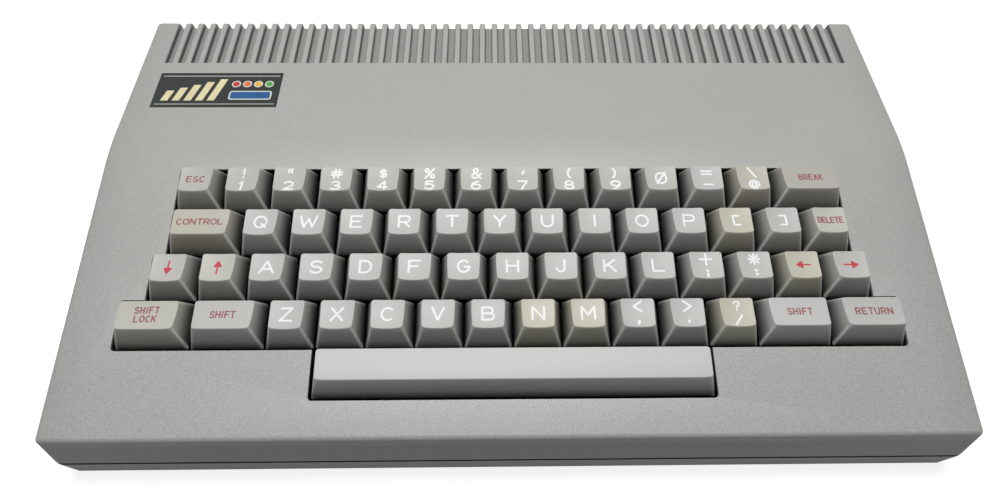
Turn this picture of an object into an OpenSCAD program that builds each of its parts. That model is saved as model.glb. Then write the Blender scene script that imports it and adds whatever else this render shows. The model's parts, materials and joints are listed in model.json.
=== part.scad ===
// Home computer with a built-in full-travel keyboard, in two grey plastic case halves.
// X runs to the right, Y to the rear and Z up. The origin is under the middle of the case,
// at the level of the feet. Lengths are in millimetres and angles in degrees.

/* [Keyboard] */
// Distance between the centres of two neighbouring keys
key_pitch = 19.05; // [18:0.05:20]
// Free space between the bases of two neighbouring keycaps
cap_gap = 0.95; // [0.6:0.05:1.5]
// Height of a keycap's front top edge above the sloping deck
cap_rise = 7.9; // [6:0.1:9]
// How far the tops of the keycaps lean back from the sloping deck
cap_tilt = 8; // [4:0.5:11]
// Depth of a keycap's lower edge under the sloping deck
cap_sink = 2; // [1.5:0.1:2.5]
// How far each side of a keycap draws in from its base to its top
cap_side_taper = 3.15; // [2:0.05:3.3]
// How far the front of a keycap draws in from its base to its top
cap_front_taper = 5.6; // [3:0.1:5.8]
// How far the back of a keycap draws in from its base to its top
cap_back_taper = 1.45; // [1:0.05:3]
// How far the ends and the back of the space bar draw in
bar_taper = 1.6; // [1:0.1:2]
// Wall thickness of a keycap
cap_wall = 1.2; // [0.8:0.1:1.3]
// Thickness of plastic under the middle of a keycap's dish
cap_roof = 1.1; // [0.8:0.1:2]
// Radius of the hollow in the top of each keycap
dish_r = 40; // [20:1:60]
// How far a key goes down
key_travel = 3.6; // [2:0.1:3.8]
// Free space around the keycaps in the deck opening
opening_clear = 0.5; // [0.3:0.1:1.5]
// Corner radius of the deck opening
opening_r = 1.5; // [0.5:0.1:2]

/* [Case] */
// Deck between the widest key row and the case side, measured at the seam
side_margin = 23.64; // [20:0.02:30]
// Deck in front of the space bar
front_margin = 14.55; // [12:0.05:25]
// Deck between the number row and the ridge
back_margin = 10.9; // [10:0.1:16]
// Length of the level rear deck
rear_deck = 81; // [70:1:100]
// Slope of the keyboard deck
deck_slope = 11.2; // [8:0.1:13]
// Height of the upper case's front face
front_drop = 18.8; // [17:0.1:24]
// How far the front face leans out towards the seam
front_lean = 3; // [2:0.1:4]
// How far the rear wall leans out towards the seam
rear_lean = 3.6; // [2:0.1:5]
// Draft angle of the case sides
side_draft = 6.3; // [1:0.1:8]
// Wall thickness of both case halves
wall = 2.5; // [2:0.1:2.8]
// Radius of the case's upright corners
corner_r = 3; // [3:0.5:9]
// Radius of the case's top edges
edge_r = 2.5; // [1:0.5:3]

/* [Ribs and badge] */
// Distance between two vent grooves
groove_pitch = 6; // [5:0.5:8]
// Width of a vent groove
groove_w = 3.3; // [2:0.1:3.6]
// Depth of a vent groove
groove_deep = 2.4; // [2:0.1:5]
// Length of the vent grooves from the rear edge
groove_len = 28.7; // [20:0.1:34]
// How far the vent grooves run down the rear wall
groove_fall = 9; // [4:0.5:12]
// Least plain deck beside the first and the last groove
groove_margin = 10.4; // [8:0.1:14]
// Bevel along the edges of a groove
groove_bevel = 0.25; // [0.2:0.05:0.6]
// Width of the badge plate
badge_w = 55.5; // [40:0.5:70]
// Depth of the badge plate, front to back
badge_d = 21; // [12:0.5:24]
// Thickness of the badge plate
badge_t = 0.9; // [0.6:0.1:1.2]
// Free space around the badge plate in its recess
badge_clear = 0.3; // [0.2:0.1:0.5]
// Deck between the badge recess and the case side
badge_side = 11.3; // [8:0.1:20]
// Deck between the badge recess and the grooves
badge_back = 7.3; // [4:0.1:12]

/* [Base] */
// Height of the base tray, from its underside to the seam
tray_h = 13.2; // [11:0.1:16]
// How far the tray's sides draw in from the seam to the underside
tray_lean = 0.5; // [0.5:0.1:2]
// Radius of the tray's lower edge
tray_edge_r = 0.6; // [0.4:0.1:1.5]
// Open joint between the two case halves
seam_gap = 0.8; // [0.3:0.1:1]
// Height of the shadow line cut around the upper case above the joint
shadow_h = 0.7; // [0.4:0.1:1.2]
// Depth of the shadow line
shadow_deep = 1.2; // [0.6:0.1:1.4]
// Height of the locating lip above the seam
lip_h = 2.6; // [2:0.1:4]
// Thickness of the locating lip
lip_t = 1.2; // [1:0.1:1.5]
// How far the rubber feet stand below the tray
foot_h = 1; // [0.8:0.1:5]
// Radius of a rubber foot
foot_r = 6.5; // [5:0.5:8]
// How deep a foot sits in the tray
foot_seat = 0.8; // [0.5:0.1:1]

/* [Fasteners] */
// Radius of a case screw's shank
screw_r = 1.45; // [1.2:0.05:1.6]
// Radius of a case screw's head
screw_head_r = 2.8; // [2.5:0.1:3]
// Radius of a board screw's shank
small_screw_r = 1.1; // [0.9:0.05:1.2]
// Radius of a board screw's head
small_head_r = 2.2; // [2:0.1:2.5]
// Radial clearance of a screw in its thread
thread_clear = 0.05; // [0.02:0.01:0.1]
// Radius of a case screw boss
boss_r = 4.2; // [4:0.1:5]

/* [Inside] */
// Depth of the keyboard frame's top face under the deck
frame_deep = 8; // [7.8:0.1:9]
// Thickness of the steel keyboard frame
frame_t = 1.5; // [1:0.1:2]
// Size of the square hole that holds a key switch
switch_hole = 13.9; // [13.5:0.1:14.5]
// Free space between a switch and the edge of its hole
switch_clear = 0.1; // [0.05:0.05:0.3]
// Width of a switch's upper body
switch_top_w = 11.4; // [11:0.1:11.6]
// Height of a switch's upper body above the frame
switch_rise = 4.5; // [4:0.1:4.7]
// Depth of a switch's lower body under the frame's top face
switch_drop = 7.2; // [6:0.1:8]
// Width of a switch's sliding plunger
plunger_w = 5.8; // [5:0.1:6.5]
// Running clearance of the plunger in its switch
plunger_clear = 0.2; // [0.1:0.05:0.3]
// Thickness of the circuit boards
board_t = 1.6; // [1.2:0.1:2]
// Height of the standoffs under the main board
standoff_h = 5.5; // [3:0.5:6]
// Width of the main board
main_board_w = 300; // [290:1:306]
// Free space between the main board and the case ends
main_board_clear = 5; // [4.5:0.5:12]
// Radius of the space bar's levelling wire
wire_r = 0.7; // [0.5:0.05:0.8]
// Half the distance between the two arms of the levelling wire
wire_arm_x = 48; // [35:1:60]
// Length of each arm of the levelling wire
wire_arm = 10.2; // [9:0.1:10.6]

/* [Rear sockets] */
// Radius of a round data socket
din_r = 7.7; // [7:0.1:8]
// Height of the data sockets' centre above the main board
din_z = 13; // [12.6:0.1:16]
// Radius of the television socket's sleeve
phono_r = 4.15; // [4:0.05:4.3]
// Radius of the opening for the television plug
phono_hole_r = 7.2; // [6.5:0.1:8]
// Radius of the hole in the power socket
power_r = 3.1; // [2.8:0.1:3.3]
// Radius of the opening for the power plug
power_hole_r = 5.2; // [4.5:0.1:6]
// Width of the expansion connector
expansion_w = 94; // [60:1:100]
// Height of the expansion connector
expansion_h = 11; // [9:0.5:12]

/* [Hidden] */
$fn = 48;
CORNER_FN = 32;
EPS = 0.01;
CUT = 1;

row_count = 5;
widest_row = 16;
case_w = widest_row * key_pitch + 2 * side_margin;
deck_len = front_margin + row_count * key_pitch + back_margin;
case_d = front_lean + deck_len * cos(deck_slope) + rear_deck + rear_lean;

tray_floor_z = foot_h + wall;
seam_z = foot_h + tray_h;
front_z = seam_z + front_drop;
top_z = front_z + deck_len * sin(deck_slope);
front_y = -case_d / 2 + front_lean;
ridge_y = front_y + deck_len * cos(deck_slope);
rear_y = case_d / 2 - rear_lean;
rear_lean_rate = rear_lean / (top_z - seam_z);
front_lean_rate = front_lean / front_drop;

function half_w(z) = case_w / 2 - (z - seam_z) * tan(side_draft);
function front_at(z) = -case_d / 2 + (z - seam_z) * front_lean_rate;
function rear_at(z) = case_d / 2 - (z - seam_z) * rear_lean_rate;
function roof_at(y) = y > ridge_y ? top_z : top_z - (ridge_y - y) * tan(deck_slope);

// Outward normals of the case's front, deck, rear deck and rear wall, as [y, z]
front_normal = [-front_drop, front_lean] / norm([front_drop, front_lean]);
deck_normal = [-sin(deck_slope), cos(deck_slope)];
level_normal = [0, 1];
rear_normal = [top_z - seam_z, rear_lean] / norm([top_z - seam_z, rear_lean]);

// The offset from an edge to the point that lies at the given distances from its two planes
function meet(na, da, nb, db) =
    let (d = na * nb, k = 1 - d * d) na * ((da - d * db) / k) + nb * ((db - d * da) / k);

groove_slab = groove_deep + wall;
groove_front_y = rear_y - groove_len;
groove_span = 2 * half_w(top_z) - 2 * groove_margin + groove_pitch - groove_w;
groove_count = floor(groove_span / groove_pitch);

badge_pocket_w = badge_w + 2 * badge_clear;
badge_pocket_d = badge_d + 2 * badge_clear;
badge_x = -half_w(top_z) + badge_side + badge_pocket_w / 2;
badge_y = groove_front_y - badge_back - badge_pocket_d / 2;
badge_pocket_deep = badge_t + 0.2;
lip_clear = 0.3;
lip_root = 3;
least_r = 0.3;

cap_h = cap_rise + cap_sink;
cap_base = key_pitch / 2 - cap_gap / 2;
cap_back_rate = cap_back_taper / cap_h * tan(cap_tilt);
cap_top_front = cap_base - cap_front_taper;
cap_top_back = (cap_base - cap_back_taper + cap_back_rate * cap_top_front) / (1 - cap_back_rate);
cap_top_s = (cap_top_back - cap_top_front) / 2;
dish_half_s = (cap_top_back + cap_top_front) / 2 / cos(cap_tilt);
cap_top_w = cap_rise - dish_half_s * sin(cap_tilt);
cap_top_half = cap_base - cap_side_taper * (cap_top_w + cap_sink) / cap_h;
dish_sag = (pow(cap_top_half, 2) + pow(dish_half_s, 2)) / (2 * dish_r);
groove_sag = pow(dish_half_s, 2) / (2 * dish_r);
dish_low_w = cap_top_w + (dish_r - dish_sag) * cos(cap_tilt) - dish_r;
cap_ceiling = dish_low_w - cap_roof;

plunger_low = frame_deep + 1.6;
plunger_neck = cap_sink - 1.5;
stem_w = plunger_w - 2.2;
stem_clear = 0.05;
switch_flange_w = 15.4;
switch_flange_t = 1;
switch_top_w_low = frame_deep - switch_rise;
switch_low_w = frame_deep + switch_drop;
board_low_w = switch_low_w + board_t;

wire_pivot_w = -(frame_deep - 3.9);
wire_pivot_s = 6.6;
wire_swing = asin(key_travel / 2 / wire_arm);
wire_pin_len = 5;
wire_clip_x = wire_arm_x - 10;
wire_clip_w = 3;
wire_post_w = 3;
wire_run_clear = 0.1;

board_z = tray_floor_z + standoff_h;
board_top = board_z + board_t;
main_front_y = -case_d / 2 + wall + main_board_clear + 10;
main_rear_y = case_d / 2 - wall - 2.5;

boss_x = case_w / 2 - 11;
counterbore_h = 4;
boss_ys = [-case_d / 2 + 14, 0, case_d / 2 - 14];
foot_x = case_w / 2 - 27;
foot_y = case_d / 2 - 24;
standoff_r = 3.2;
standoff_x = main_board_w / 2 - 6;
standoff_ys = [main_front_y + 8, 20, main_rear_y - 38];

frame_half_w = widest_row * key_pitch / 2 + 2;
frame_front_s = 5;
frame_rear_s = deck_len - 1.5;
board_front_s = frame_front_s + 3;
board_rear_s = frame_rear_s - 4;
post_r = 2.9;
post_back = [frame_half_w - 8.6, front_margin + 4.4 * key_pitch];
post_front = [4 * key_pitch + 24, front_margin + 0.4 * key_pitch];
post_mid = [0, deck_len - back_margin / 2 + 1];
POSTS = [
    [-post_back.x, post_back.y], [post_back.x, post_back.y],
    [-post_front.x, post_front.y], [post_front.x, post_front.y],
    post_mid
];

heatsink_x = 44 - main_board_w / 2;
heatsink_y = 58;
cable_w = 36;
cable_t = 1;

power_x = 140;
tv_x = 98;
din_xs = [34, 60];
expansion_x = -64;
din_centre_z = board_top + din_z;
phono_z = board_top + 13.4;
power_z = board_top + 7;
socket_body_y = case_d / 2 - wall - lip_clear - lip_t - 0.3;
din_face_y = rear_at(din_centre_z) - 0.4;
din_body_front = rear_at(din_centre_z) - wall - 13;
tv_can_rear = rear_at(phono_z) - wall - 7;
expansion_face_y = case_d / 2 - wall - 3.2;
expansion_mouth_w = expansion_w + 3;
expansion_z = board_top + expansion_h / 2;

// A run of letter keys, one key wide each, and a run of keys that share one node
function letters(run) = [for (c = run) [str("key_", c), 1]];
function bank(name, count) = [for (i = [1 : count]) [name, 1]];

// Each row from the rear: its left end in key widths from the middle, then its keys' nodes and widths
ROWS = [
    [-7.25, concat([["key_escape", 1]], bank("number_keys", 12), [["key_break", 1.5]])],
    [-7.25, concat([["key_control", 1.5]], letters("qwertyuiop"),
                   bank("punctuation_keys", 2), [["key_delete", 1]])],
    [-7.5, concat([["key_cursor_down", 1], ["key_cursor_up", 1]], letters("asdfghjkl"),
                  bank("punctuation_keys", 2),
                  [["key_cursor_left", 1], ["key_cursor_right", 1]])],
    [-8, concat([["key_shift_lock", 1.5], ["key_shift_left", 1.5]], letters("zxcvbnm"),
                bank("punctuation_keys", 3), [["key_shift_right", 1.5], ["key_return", 1.5]])],
    [-4, [["space_bar", 8]]]
];
KEY_NODES = concat(
    ["key_escape", "key_break", "key_control", "key_delete",
     "key_cursor_down", "key_cursor_up", "key_cursor_left", "key_cursor_right",
     "key_shift_lock", "key_shift_left", "key_shift_right", "key_return", "space_bar",
     "number_keys", "punctuation_keys"],
    [for (c = "qwertyuiopasdfghjklzxcvbnm") str("key_", c)]
);

function widths_before(keys, i) = i == 0 ? 0 : keys[i - 1][1] + widths_before(keys, i - 1);
function row_s(row) = front_margin + (row_count - row - 0.5) * key_pitch;
function row_width(keys) = widths_before(keys, len(keys));

// Children stand on the sloping deck: X across, Y up the slope from the front edge, Z off the deck
module on_deck(x = 0, s = 0, w = 0) {
    translate([0, front_y, front_z])
        rotate([deck_slope, 0, 0])
            translate([x, s, w])
                children();
}

module bar_box(low, high) {
    translate(low)
        cube(high - low);
}

module corner_discs(z, inset) {
    r = max(corner_r - inset, least_r);
    in = inset + r;
    for (side = [-1, 1])
        for (y = [front_at(z) + in, rear_at(z) - in])
            translate([side * (half_w(z) - in), y, z])
                cylinder(r = r, h = EPS, $fn = CORNER_FN);
}

module drafted_block(inset, z0, z1) {
    hull() {
        corner_discs(z0, inset);
        corner_discs(z1 - EPS, inset);
    }
}

module upper_outside() {
    front = [front_y, front_z] + meet(front_normal, -edge_r, deck_normal, -edge_r);
    ridge = [ridge_y, top_z] + meet(deck_normal, -edge_r, level_normal, -edge_r);
    rear = [rear_y, top_z] + meet(level_normal, -edge_r, rear_normal, -edge_r);
    hull() {
        corner_discs(seam_z, 0);
        for (side = [-1, 1])
            for (p = [front, ridge, rear])
                translate([side * (half_w(p.y) - edge_r), p.x, p.y])
                    sphere(edge_r, $fn = CORNER_FN);
    }
}

// The shadow line: a step cut into the upper case all around, just above the joint
module shadow_line() {
    difference() {
        drafted_block(-CUT, seam_z - CUT, seam_z + shadow_h);
        drafted_block(shadow_deep, seam_z - 2 * CUT, seam_z + shadow_h + CUT);
    }
}

// Everything under the roof: the deck's underside as a side view, drawn across the whole case
module under_roof() {
    low = seam_z - CUT;
    front_roof = front_z - wall / cos(deck_slope) - front_lean * tan(deck_slope);
    ridge_shift = wall * tan(deck_slope / 2);
    rotate([90, 0, 90])
        linear_extrude(case_w, center = true)
            polygon([
                [-case_d / 2, low], [case_d / 2, low], [case_d / 2, top_z - wall],
                [ridge_y + ridge_shift, top_z - wall], [-case_d / 2, front_roof]
            ]);
}

module upper_inside() {
    difference() {
        intersection() {
            drafted_block(wall, seam_z - CUT, top_z);
            under_roof();
        }
        bar_box([-case_w / 2, groove_front_y - wall, top_z - groove_slab],
                [case_w / 2, case_d / 2, top_z]);
        bar_box([-case_w / 2, rear_y - groove_slab, top_z - groove_fall - wall],
                [case_w / 2, case_d / 2, top_z]);
    }
}

// A block over a stretch of a key row, with its corners rounded, for the deck opening
module rounded_slot(half, s0, s1) {
    deep = frame_deep;
    for (side = [-1, 1])
        for (s = [s0 + opening_r, s1 - opening_r])
            translate([side * (half - opening_r), s, -deep])
                cylinder(r = opening_r, h = 2 * deep);
    bar_box([-half + opening_r, s0, -deep], [half - opening_r, s1, deep]);
    bar_box([-half, s0 + opening_r, -deep], [half, s1 - opening_r, deep]);
}

module deck_opening() {
    on_deck()
        for (row = [0 : row_count - 1]) {
            half = row_width(ROWS[row][1]) * key_pitch / 2 + opening_clear;
            s1 = row_s(row) + key_pitch / 2 + opening_clear;
            rounded_slot(half, row_s(row) - key_pitch / 2 - opening_clear, s1);
        }
}

module groove_profile() {
    half = groove_w / 2;
    polygon([
        [-half, -groove_deep], [half, -groove_deep], [half, -groove_bevel],
        [half + groove_bevel, 0], [half + groove_bevel, CUT],
        [-half - groove_bevel, CUT], [-half - groove_bevel, 0],
        [-half, -groove_bevel]
    ]);
}

// Each vent groove runs back along the deck, over the rear edge and down the rear wall
module groove_cuts() {
    for (i = [0 : groove_count - 1])
        translate([(i - (groove_count - 1) / 2) * groove_pitch, 0, top_z]) {
            translate([0, groove_front_y, 0])
                rotate([90, 0, 180])
                    linear_extrude(groove_len + 2 * rear_lean)
                        groove_profile();
            translate([0, rear_y, 0])
                rotate([atan(rear_lean_rate), 0, 0])
                    translate([0, 0, -groove_fall])
                        linear_extrude(groove_fall + CUT)
                            groove_profile();
        }
}

module badge_pocket() {
    translate([badge_x, badge_y, top_z - badge_pocket_deep])
        linear_extrude(badge_pocket_deep + CUT)
            square([badge_pocket_w, badge_pocket_d], center = true);
}

// A round opening through the rear wall
module rear_hole(x, z, r) {
    translate([x, case_d / 2 + CUT, z])
        rotate([90, 0, 0])
            cylinder(r = r, h = 3 * wall);
}

module rear_openings() {
    for (x = din_xs)
        rear_hole(x, din_centre_z, din_r + 0.4);
    rear_hole(tv_x, phono_z, phono_hole_r);
    rear_hole(power_x, power_z, power_hole_r);
    bar_box([expansion_x - expansion_mouth_w / 2, case_d / 2 - 3 * wall, board_top - 0.4],
            [expansion_x + expansion_mouth_w / 2, case_d / 2 + CUT, board_top + expansion_h + 1]);
}

module case_bosses() {
    for (side = [-1, 1])
        for (y = boss_ys)
            translate([side * boss_x, y, seam_z])
                cylinder(r = boss_r, h = roof_at(y - boss_r) - seam_z - wall / 2);
}

module case_boss_bores() {
    for (side = [-1, 1])
        for (y = boss_ys)
            translate([side * boss_x, y, seam_z - CUT])
                cylinder(r = screw_r + thread_clear, h = front_drop - 4);
}

module frame_posts() {
    for (p = POSTS)
        on_deck(p.x, p.y, -frame_deep)
            cylinder(r = post_r, h = frame_deep - wall / 2);
}

module frame_post_bores() {
    for (p = POSTS)
        on_deck(p.x, p.y, -frame_deep - CUT)
            cylinder(r = small_screw_r + thread_clear, h = frame_deep - wall);
}

module upper_case() {
    color("#acada8")
        difference() {
            union() {
                difference() {
                    upper_outside();
                    upper_inside();
                }
                case_bosses();
                frame_posts();
            }
            deck_opening();
            groove_cuts();
            badge_pocket();
            rear_openings();
            shadow_line();
            case_boss_bores();
            frame_post_bores();
        }
}

module tray_outside() {
    low_x = case_w / 2 - tray_lean - corner_r;
    low_y = case_d / 2 - tray_lean - corner_r;
    hull() {
        for (x = [-1, 1])
            for (y = [-1, 1]) {
                translate([x * low_x, y * low_y, foot_h + tray_edge_r])
                    cylinder(r = corner_r, h = EPS, $fn = CORNER_FN);
                translate([x * low_x, y * low_y, foot_h])
                    cylinder(r = corner_r - tray_edge_r, h = EPS, $fn = CORNER_FN);
                translate([x * (case_w / 2 - corner_r), y * (case_d / 2 - corner_r),
                           seam_z - seam_gap - EPS])
                    cylinder(r = corner_r, h = EPS, $fn = CORNER_FN);
            }
    }
}

module tray_inside() {
    half_x = case_w / 2 - tray_lean - wall;
    half_y = case_d / 2 - tray_lean - wall;
    inner_r = corner_r - wall;
    for (x = [-1, 1])
        for (y = [-1, 1])
            translate([x * (half_x - inner_r), y * (half_y - inner_r), tray_floor_z])
                cylinder(r = inner_r, h = tray_h + CUT);
    bar_box([-half_x + inner_r, -half_y, tray_floor_z],
            [half_x - inner_r, half_y, seam_z + CUT]);
    bar_box([-half_x, -half_y + inner_r, tray_floor_z],
            [half_x, half_y - inner_r, seam_z + CUT]);
}

// The lip that stands up inside the upper case and keeps the two halves in line
module tray_lip() {
    low = seam_z - seam_gap - lip_root;
    difference() {
        drafted_block(wall + lip_clear, low, seam_z + lip_h);
        drafted_block(wall + lip_clear + lip_t, low - CUT, seam_z + lip_h + CUT);
    }
}

module tray_bosses() {
    for (side = [-1, 1])
        for (y = boss_ys)
            translate([side * boss_x, y, tray_floor_z - EPS])
                cylinder(r = boss_r, h = seam_z - tray_floor_z + EPS);
    for (side = [-1, 1])
        for (y = standoff_ys)
            translate([side * standoff_x, y, tray_floor_z - EPS])
                cylinder(r = standoff_r, h = standoff_h + EPS);
}

module tray_bores() {
    for (side = [-1, 1])
        for (y = boss_ys)
            translate([side * boss_x, y, foot_h - CUT]) {
                cylinder(r = screw_r + 0.25, h = tray_h + 2 * CUT);
                cylinder(r = screw_head_r + 0.3, h = counterbore_h + CUT);
            }
    for (side = [-1, 1])
        for (y = standoff_ys)
            translate([side * standoff_x, y, board_z - standoff_h])
                cylinder(r = small_screw_r + thread_clear, h = standoff_h + CUT);
}

module foot_places() {
    for (x = [-1, 1])
        for (y = [-1, 1])
            translate([x * foot_x, y * foot_y, 0])
                children();
}

module base_tray() {
    color("#a3a49f")
        difference() {
            union() {
                difference() {
                    tray_outside();
                    tray_inside();
                }
                tray_lip();
                tray_bosses();
            }
            tray_bores();
            rear_openings();
            foot_places()
                translate([0, 0, foot_h - CUT])
                    cylinder(r = foot_r + 0.2, h = foot_seat + CUT);
        }
}

module rubber_feet() {
    color("#2a2a2b")
        foot_places() {
            translate([0, 0, 0.8])
                cylinder(r = foot_r, h = foot_h + foot_seat - 0.8);
            cylinder(r1 = foot_r - 0.8, r2 = foot_r, h = 0.8);
        }
}

module case_screws() {
    head_z = foot_h + counterbore_h - 2;
    color("#8c8d90")
        for (side = [-1, 1])
            for (y = boss_ys)
                translate([side * boss_x, y, 0])
                    difference() {
                        union() {
                            translate([0, 0, head_z])
                                cylinder(r = screw_head_r, h = 2);
                            translate([0, 0, head_z])
                                cylinder(r = screw_r, h = tray_h + 8);
                        }
                        for (turn = [0, 90])
                            translate([0, 0, head_z])
                                rotate(turn)
                                    cube([2.6, 0.6, 1.6], center = true);
                    }
}

module badge_plate() {
    color("#1f2a27")
        translate([badge_x, badge_y, top_z - badge_pocket_deep])
            linear_extrude(badge_t)
                square([badge_w, badge_d], center = true);
}

// Half width of a keycap, and its reach to the front and the back, at a height over the deck
function drawn_in(base, taper, w) = base - taper * (w + cap_sink) / cap_h;
function side_taper(units) = units > 2 ? bar_taper : cap_side_taper;
function back_taper(units) = units > 2 ? bar_taper : cap_back_taper;

// The keycap's tapered block between two heights, all faces set in by inset
module cap_block(units, inset, low, high) {
    half = (units - 1) * key_pitch / 2 + cap_base - inset;
    reach = cap_base - inset;
    long = 2 * units * key_pitch;
    intersection() {
        rotate([90, 0, 0])
            linear_extrude(long, center = true)
                polygon([
                    [-drawn_in(half, side_taper(units), low), low],
                    [drawn_in(half, side_taper(units), low), low],
                    [drawn_in(half, side_taper(units), high), high],
                    [-drawn_in(half, side_taper(units), high), high]
                ]);
        rotate([90, 0, 90])
            linear_extrude(long, center = true)
                polygon([
                    [-drawn_in(reach, cap_front_taper, low), low],
                    [drawn_in(reach, back_taper(units), low), low],
                    [drawn_in(reach, back_taper(units), high), high],
                    [-drawn_in(reach, cap_front_taper, high), high]
                ]);
    }
}

// Children stand at the middle of a keycap's top, which leans back
module on_cap_top() {
    translate([0, cap_top_s, cap_top_w])
        rotate([-cap_tilt, 0, 0])
            children();
}

module cap_dish(units) {
    depth = units > 1 ? groove_sag : dish_sag;
    on_cap_top()
        translate([0, 0, dish_r - depth])
            if (units > 1)
                rotate([0, 90, 0])
                    cylinder(r = dish_r, h = 2 * units * key_pitch, center = true, $fn = 96);
            else
                sphere(dish_r, $fn = 96);
}

// What the leaning top cuts off the keycap's block
module above_cap_top(units) {
    reach = units * key_pitch;
    on_cap_top()
        bar_box([-reach, -key_pitch, 0], [reach, key_pitch, cap_h]);
}

// A keycap with its hollow underside and the socket for the plunger
module keycap(units) {
    boss_w = plunger_w;
    difference() {
        union() {
            difference() {
                cap_block(units, 0, -cap_sink, cap_rise);
                cap_block(units, cap_wall, -cap_sink - CUT, cap_ceiling);
            }
            bar_box([-boss_w / 2, -boss_w / 2, -plunger_neck + stem_clear],
                    [boss_w / 2, boss_w / 2, cap_ceiling + EPS]);
        }
        above_cap_top(units);
        if (units <= 2)
            cap_dish(units);
        bar_box([-stem_w / 2 - stem_clear, -stem_w / 2 - stem_clear, -plunger_neck - CUT],
                [stem_w / 2 + stem_clear, stem_w / 2 + stem_clear, cap_ceiling - 1]);
    }
}

module plunger() {
    bar_box([-plunger_w / 2, -plunger_w / 2, -plunger_low],
            [plunger_w / 2, plunger_w / 2, -plunger_neck]);
    bar_box([-stem_w / 2, -stem_w / 2, -plunger_neck],
            [stem_w / 2, stem_w / 2, cap_ceiling - 1.2]);
}

// The two posts under the space bar that hook over the levelling wire's bent ends
module bar_posts() {
    pin_s = wire_pivot_s - wire_arm;
    pin_w = wire_pivot_w + key_travel / 2;
    slot_s = wire_r + 0.5;
    slot_w = wire_r + 0.2;
    for (side = [-1, 1])
        translate([side * (wire_arm_x - wire_r - wire_post_w / 2 - 0.3), pin_s, 0])
            difference() {
                bar_box([-wire_post_w / 2, -2.4, pin_w - slot_w - 0.9],
                        [wire_post_w / 2, 2.6, cap_ceiling + EPS]);
                bar_box([-wire_post_w, -slot_s, pin_w - slot_w],
                        [wire_post_w, slot_s + 0.2, pin_w + slot_w]);
            }
}

module key(units) {
    keycap(units);
    plunger();
    if (units > 2)
        intersection() {
            bar_posts();
            cap_block(units, cap_wall / 2, -frame_deep, cap_ceiling + EPS);
        }
}

// Every key of the rows that belongs to the named node
module keys_of(name) {
    color("#c4c3be")
        for (row = [0 : row_count - 1])
            let (start = ROWS[row][0], keys = ROWS[row][1])
                for (i = [0 : len(keys) - 1])
                    if (keys[i][0] == name)
                        on_deck((start + widths_before(keys, i) + keys[i][1] / 2) * key_pitch,
                                row_s(row))
                            key(keys[i][1]);
}

// Children stand at the middle of every key
module at_every_key() {
    for (row = [0 : row_count - 1])
        let (start = ROWS[row][0], keys = ROWS[row][1])
            for (i = [0 : len(keys) - 1])
                on_deck((start + widths_before(keys, i) + keys[i][1] / 2) * key_pitch, row_s(row))
                    children();
}

// The clips hold the levelling wire from the front, and the wire snaps in from the rear
module wire_clips() {
    for (side = [-1, 1])
        on_deck(side * wire_clip_x, row_s(4) + wire_pivot_s, wire_pivot_w)
            difference() {
                bar_box([-wire_clip_w / 2, -wire_r - 0.9, -frame_deep - wire_pivot_w - EPS],
                        [wire_clip_w / 2, wire_r / 2, wire_r + 0.6]);
                rotate([0, 90, 0])
                    cylinder(r = wire_r + wire_run_clear, h = 2 * wire_clip_w, center = true);
            }
}

module keyboard_frame() {
    color("#8f9294")
        union() {
            difference() {
                on_deck()
                    bar_box([-frame_half_w, frame_front_s, -frame_deep - frame_t],
                            [frame_half_w, frame_rear_s, -frame_deep]);
                at_every_key()
                    cube([switch_hole, switch_hole, 2 * (frame_deep + frame_t + CUT)], center = true);
                for (p = POSTS)
                    on_deck(p.x, p.y, -frame_deep - frame_t - CUT)
                        cylinder(r = small_screw_r + 0.2, h = frame_t + 2 * CUT);
            }
            wire_clips();
        }
}

module key_switch() {
    low_half = switch_hole / 2 - switch_clear;
    bore_half = plunger_w / 2 + plunger_clear;
    difference() {
        union() {
            bar_box([-switch_top_w / 2, -switch_top_w / 2, -frame_deep],
                    [switch_top_w / 2, switch_top_w / 2, -switch_top_w_low]);
            bar_box([-switch_flange_w / 2, -switch_flange_w / 2, -frame_deep],
                    [switch_flange_w / 2, switch_flange_w / 2, -frame_deep + switch_flange_t]);
            bar_box([-low_half, -low_half, -switch_low_w], [low_half, low_half, -frame_deep]);
        }
        bar_box([-bore_half, -bore_half, -plunger_low - key_travel - 0.5],
                [bore_half, bore_half, 0]);
    }
}

module key_switches() {
    color("#26282a")
        at_every_key()
            key_switch();
}

module keyboard_board() {
    color("#3f6b43")
        difference() {
            on_deck()
                bar_box([-frame_half_w + 4, board_front_s, -board_low_w],
                        [frame_half_w - 4, board_rear_s, -switch_low_w]);
            for (p = POSTS)
                on_deck(p.x, p.y, -board_low_w - CUT)
                    cylinder(r = small_head_r + 1, h = board_t + 2 * CUT);
        }
}

module space_bar_wire() {
    color("#a9adb0")
        on_deck(0, row_s(4) + wire_pivot_s, wire_pivot_w)
            rotate([-wire_swing, 0, 0]) {
                rotate([0, 90, 0])
                    cylinder(r = wire_r, h = 2 * wire_arm_x, center = true);
                for (side = [-1, 1]) {
                    translate([side * wire_arm_x, 0, 0])
                        rotate([90, 0, 0])
                            cylinder(r = wire_r, h = wire_arm);
                    for (s = [0, -wire_arm])
                        translate([side * wire_arm_x, s, 0])
                            sphere(wire_r);
                    translate([side * (wire_arm_x - wire_pin_len / 2), -wire_arm, 0])
                        rotate([0, 90, 0])
                            cylinder(r = wire_r, h = wire_pin_len, center = true);
                }
            }
}

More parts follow.
